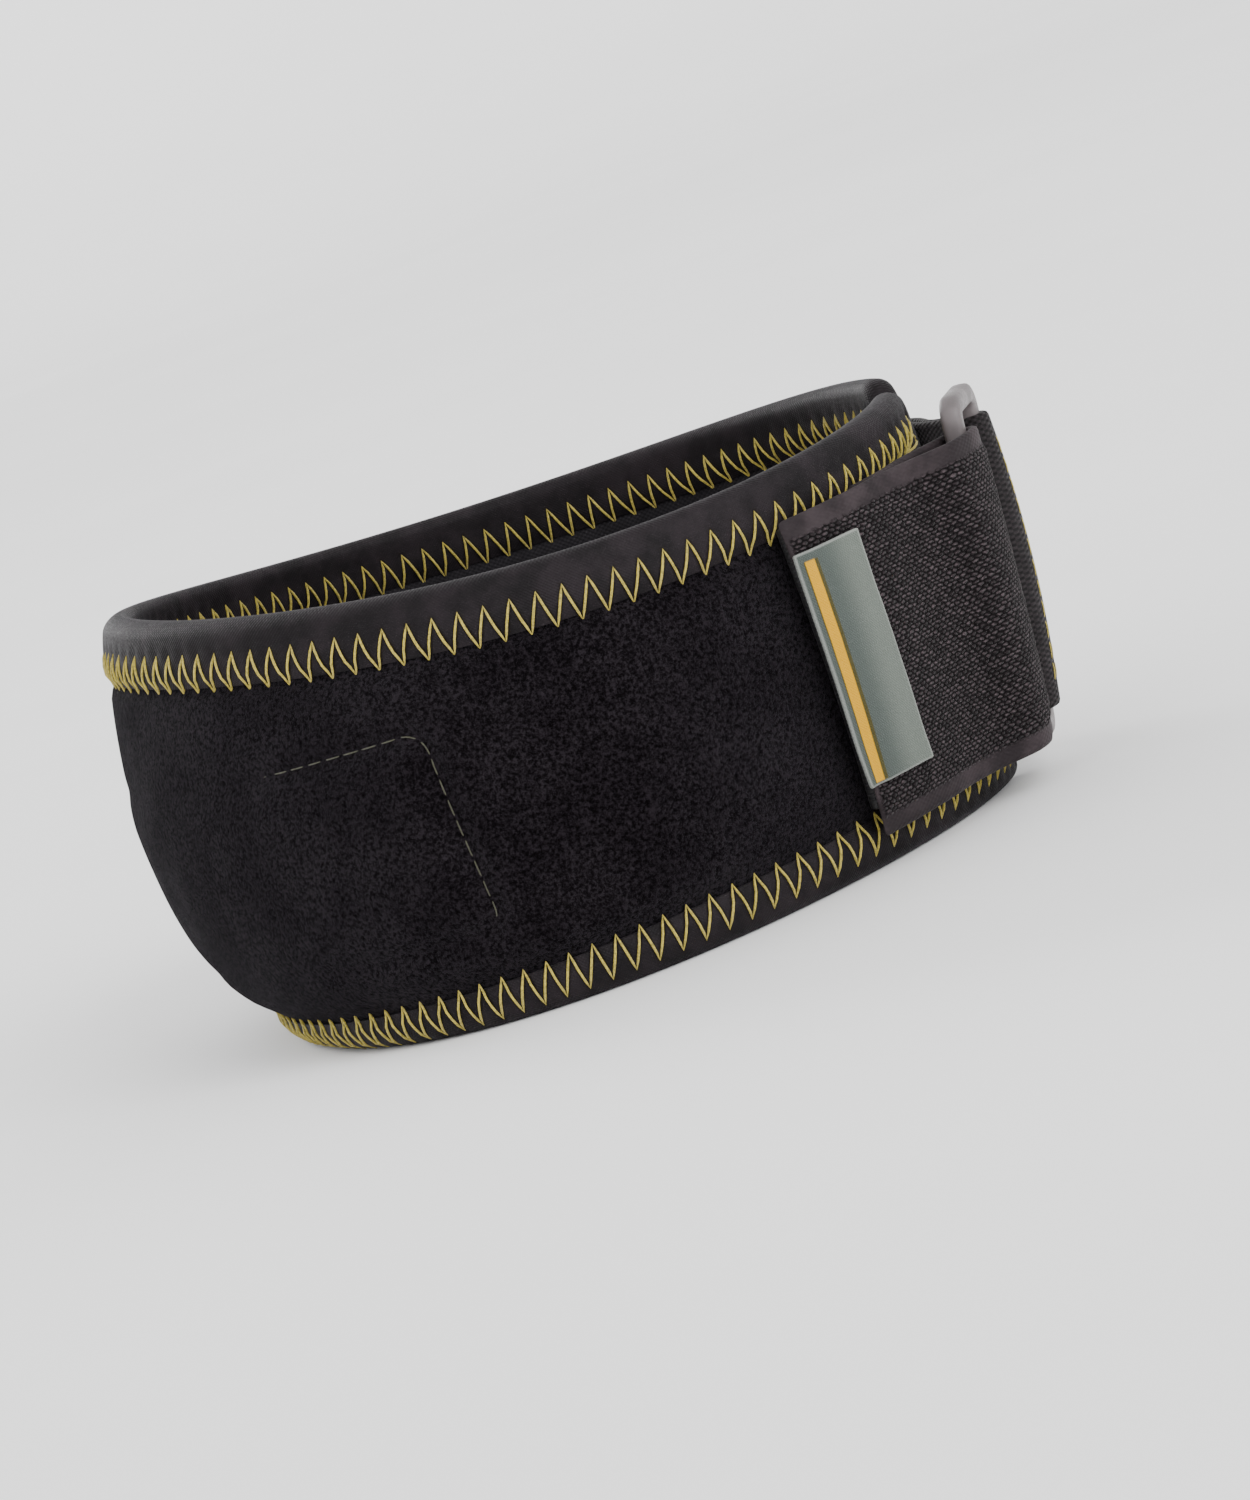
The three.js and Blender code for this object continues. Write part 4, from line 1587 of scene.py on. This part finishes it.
class PATELLA_OT_seams(Operator):
    """Sew the zigzags, the pad's seam and the rows that hold the webbing"""

    bl_idname = "patella.seams"
    bl_label = "Seams"

    def execute(self, context):
        settings, line, border, closure = workshop(context)
        make_zigzags(settings, border)
        make_pad_seam(settings, line, border)
        make_webbing_seams(settings, line, closure)
        return {"FINISHED"}


class PATELLA_OT_pad(Operator):
    """Make and fill the pad inside the front"""

    bl_idname = "patella.pad"
    bl_label = "Tendon pad"

    def execute(self, context):
        settings, line, _, _ = workshop(context)
        make_pad(settings, line)
        return {"FINISHED"}


class PATELLA_OT_webbing(Operator):
    """Make the pile strap and the keeper loop"""

    bl_idname = "patella.webbing"
    bl_label = "Webbing"

    def execute(self, context):
        settings, _, _, closure = workshop(context)
        finishes = settings.finishes
        strap = settings.strap
        course = closure.strap_line()

        def droop(run):
            hang = smooth(TURNED, TURNED + 4 * MM, run)
            return strap.droop * hang * mix(0.6, 1, run / course.length)

        pile = pile_webbing(settings, course.length)
        make_webbing("pile_strap", course, strap, 110, [pile], ("closing_strap",), True,
                     strap_crown, droop)
        plain = woven("keeper weave", finishes.selvedge, finishes.pile)
        make_webbing("keeper_loop", closure.keeper_line(), strap, 90, [plain],
                     ("ring_keeper",), False, keeper_crown)
        return {"FINISHED"}


class PATELLA_OT_ring(Operator):
    """Make the moulded ring"""

    bl_idname = "patella.ring"
    bl_label = "Ring"

    def execute(self, context):
        settings, _, _, closure = workshop(context)
        make_ring(settings, closure)
        return {"FINISHED"}


class PATELLA_OT_tabs(Operator):
    """Make the hook tape and the woven label"""

    bl_idname = "patella.tabs"
    bl_label = "Hook tape and label"

    def execute(self, context):
        settings, line, _, closure = workshop(context)
        make_hook_tape(settings, line, closure)
        make_label(settings, line, closure)
        return {"FINISHED"}


# The studio

CAMERA = {
    "target": Vector((0, 0, 30)) * MM,
    "distance": 801.2 * MM,
    "azimuth": math.radians(-3.247),
    "elevation": math.radians(7.426),
    "roll": math.radians(20.145),
    "pixels_per_mm": 7.022,
    "centre": (592.4, 699.7),
}


def camera_directions():
    """Right, up and forward of the photo's camera."""
    azimuth = CAMERA["azimuth"]
    elevation = CAMERA["elevation"]
    forward = Vector((-math.sin(azimuth) * math.cos(elevation), math.cos(azimuth) * math.cos(elevation),
                      -math.sin(elevation)))
    level = Vector((math.cos(azimuth), math.sin(azimuth), 0))
    above = level.cross(forward)
    cos = math.cos(CAMERA["roll"])
    sin = math.sin(CAMERA["roll"])
    return level * cos - above * sin, level * sin + above * cos, forward


def make_camera():
    """The photo's view: a little from above, and rolled."""
    right, up, forward = camera_directions()
    data = bpy.data.cameras.new("photo camera")
    camera = bpy.data.objects.new("photo camera", data)
    bpy.context.scene.collection.objects.link(camera)
    focal_pixels = CAMERA["pixels_per_mm"] * CAMERA["distance"] / MM
    data.lens = focal_pixels * data.sensor_width / PHOTO_HEIGHT
    data.shift_x = (PHOTO_WIDTH / 2 - CAMERA["centre"][0]) / PHOTO_HEIGHT
    data.shift_y = (CAMERA["centre"][1] - PHOTO_HEIGHT / 2) / PHOTO_HEIGHT
    place = Matrix((right, up, -forward)).transposed().to_4x4()
    place.translation = CAMERA["target"] - forward * CAMERA["distance"]
    camera.matrix_world = place
    bpy.context.scene.camera = camera


FLOOR_REACH = 2.4
FLOOR_RISE = 1.2


def make_floor(finishes):
    """A wide pale floor that curves up all round."""
    floor = bmesh.new()
    profile = [(0, 0), (FLOOR_REACH / 2, 0), (FLOOR_REACH, 0)]
    for i in range(1, 13):
        turn = math.pi / 2 * i / 12
        rise = FLOOR_RISE - FLOOR_RISE * math.cos(turn)
        profile.append((FLOOR_REACH + FLOOR_RISE * math.sin(turn), rise))
    verts = [floor.verts.new((reach, 0, rise)) for reach, rise in profile]
    edges = [floor.edges.new(pair) for pair in zip(verts, verts[1:])]
    bmesh.ops.spin(floor, geom=verts + edges, cent=(0, 0, 0), axis=(0, 0, 1), angle=math.tau,
                   steps=96, use_merge=True)
    bmesh.ops.remove_doubles(floor, verts=floor.verts, dist=0.0005)
    for face in floor.faces:
        if face.normal.z < 0 or (face.calc_center_median().to_2d().dot(face.normal.to_2d()) > 0.01):
            face.normal_flip()
    mesh = bpy.data.meshes.new("studio_floor")
    floor.to_mesh(mesh)
    floor.free()
    mesh.materials.append(pale_floor(finishes))
    mesh.polygons.foreach_set("use_smooth", [True] * len(mesh.polygons))
    sweep = bpy.data.objects.new("studio_floor", mesh)
    bpy.context.scene.collection.objects.link(sweep)
    sweep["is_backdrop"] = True


def make_lights():
    """A soft key light from above in front, a fill on the right, a rim light and a pale room."""
    right, up, forward = camera_directions()
    for name, place, strength, softness in (
        ("key", 0.4 * right + 0.7 * up - 1.0 * forward, 2.4, 35),
        ("fill", 1.0 * right + 0.3 * up - 0.8 * forward, 1.2, 60),
        ("rim", -0.9 * right + 0.3 * up + 1.0 * forward, 3.0, 25),
    ):
        data = bpy.data.lights.new(name, "SUN")
        data.energy = strength
        data.angle = math.radians(softness)
        light = bpy.data.objects.new(name, data)
        light.rotation_mode = "QUATERNION"
        light.rotation_quaternion = (-place).to_track_quat("-Z", "Y")
        bpy.context.scene.collection.objects.link(light)
    world = bpy.data.worlds.new("pale room")
    world.use_nodes = True
    background = world.node_tree.nodes["Background"]
    background.inputs["Color"].default_value = (1, 1, 1, 1)
    background.inputs["Strength"].default_value = 1.36
    bpy.context.scene.world = world


class PATELLA_OT_studio(Operator):
    """Set up the floor, the light and the camera"""

    bl_idname = "patella.studio"
    bl_label = "Studio"

    def execute(self, context):
        make_camera()
        make_lights()
        make_floor(context.scene.patella_strap.finishes)
        return {"FINISHED"}


class PATELLA_PT_panel(Panel):
    """Sizes, colours and the pieces of the strap"""

    bl_label = "Patella strap"
    bl_space_type = "VIEW_3D"
    bl_region_type = "UI"
    bl_category = "Patella strap"

    def draw(self, context):
        layout = self.layout
        settings = context.scene.patella_strap
        for title, part in (("Opening", settings.opening), ("Band", settings.band),
                            ("Strap", settings.strap), ("Stitches", settings.stitches),
                            ("Finishes", settings.finishes)):
            box = layout.box()
            box.label(text=title)
            for name in part.bl_rna.properties.keys():
                if name not in ("rna_type", "name"):
                    box.prop(part, name)
        for operator in OPERATORS:
            layout.operator(operator.bl_idname)


OPERATORS = (
    PATELLA_OT_studio,
    PATELLA_OT_band,
    PATELLA_OT_binding,
    PATELLA_OT_pad,
    PATELLA_OT_seams,
    PATELLA_OT_webbing,
    PATELLA_OT_ring,
    PATELLA_OT_tabs,
)
SETTINGS = (OpeningSizes, BandSizes, StrapSizes, StitchSizes, Finishes, PatellaStrap)
CLASSES = (*SETTINGS, *OPERATORS, PATELLA_PT_panel)


def register():
    """Makes the panel, the settings and the operators known to Blender."""
    for kind in CLASSES:
        bpy.utils.register_class(kind)
    bpy.types.Scene.patella_strap = PointerProperty(type=PatellaStrap)


def unregister():
    """Takes them out again."""
    del bpy.types.Scene.patella_strap
    for kind in reversed(CLASSES):
        bpy.utils.unregister_class(kind)


def main():
    """Makes the whole strap and works out the frame's box and the finished one."""
    register()
    bpy.ops.patella.studio()
    bpy.ops.patella.band()
    bpy.ops.patella.binding()
    bpy.ops.patella.pad()
    bpy.ops.patella.seams()
    bpy.ops.patella.webbing()
    bpy.ops.patella.ring()
    bpy.ops.patella.tabs()
    boxes = [[list(corner) for corner in box] for box in (CAD_BOX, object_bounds())]


if __name__ == "__main__":
    main()
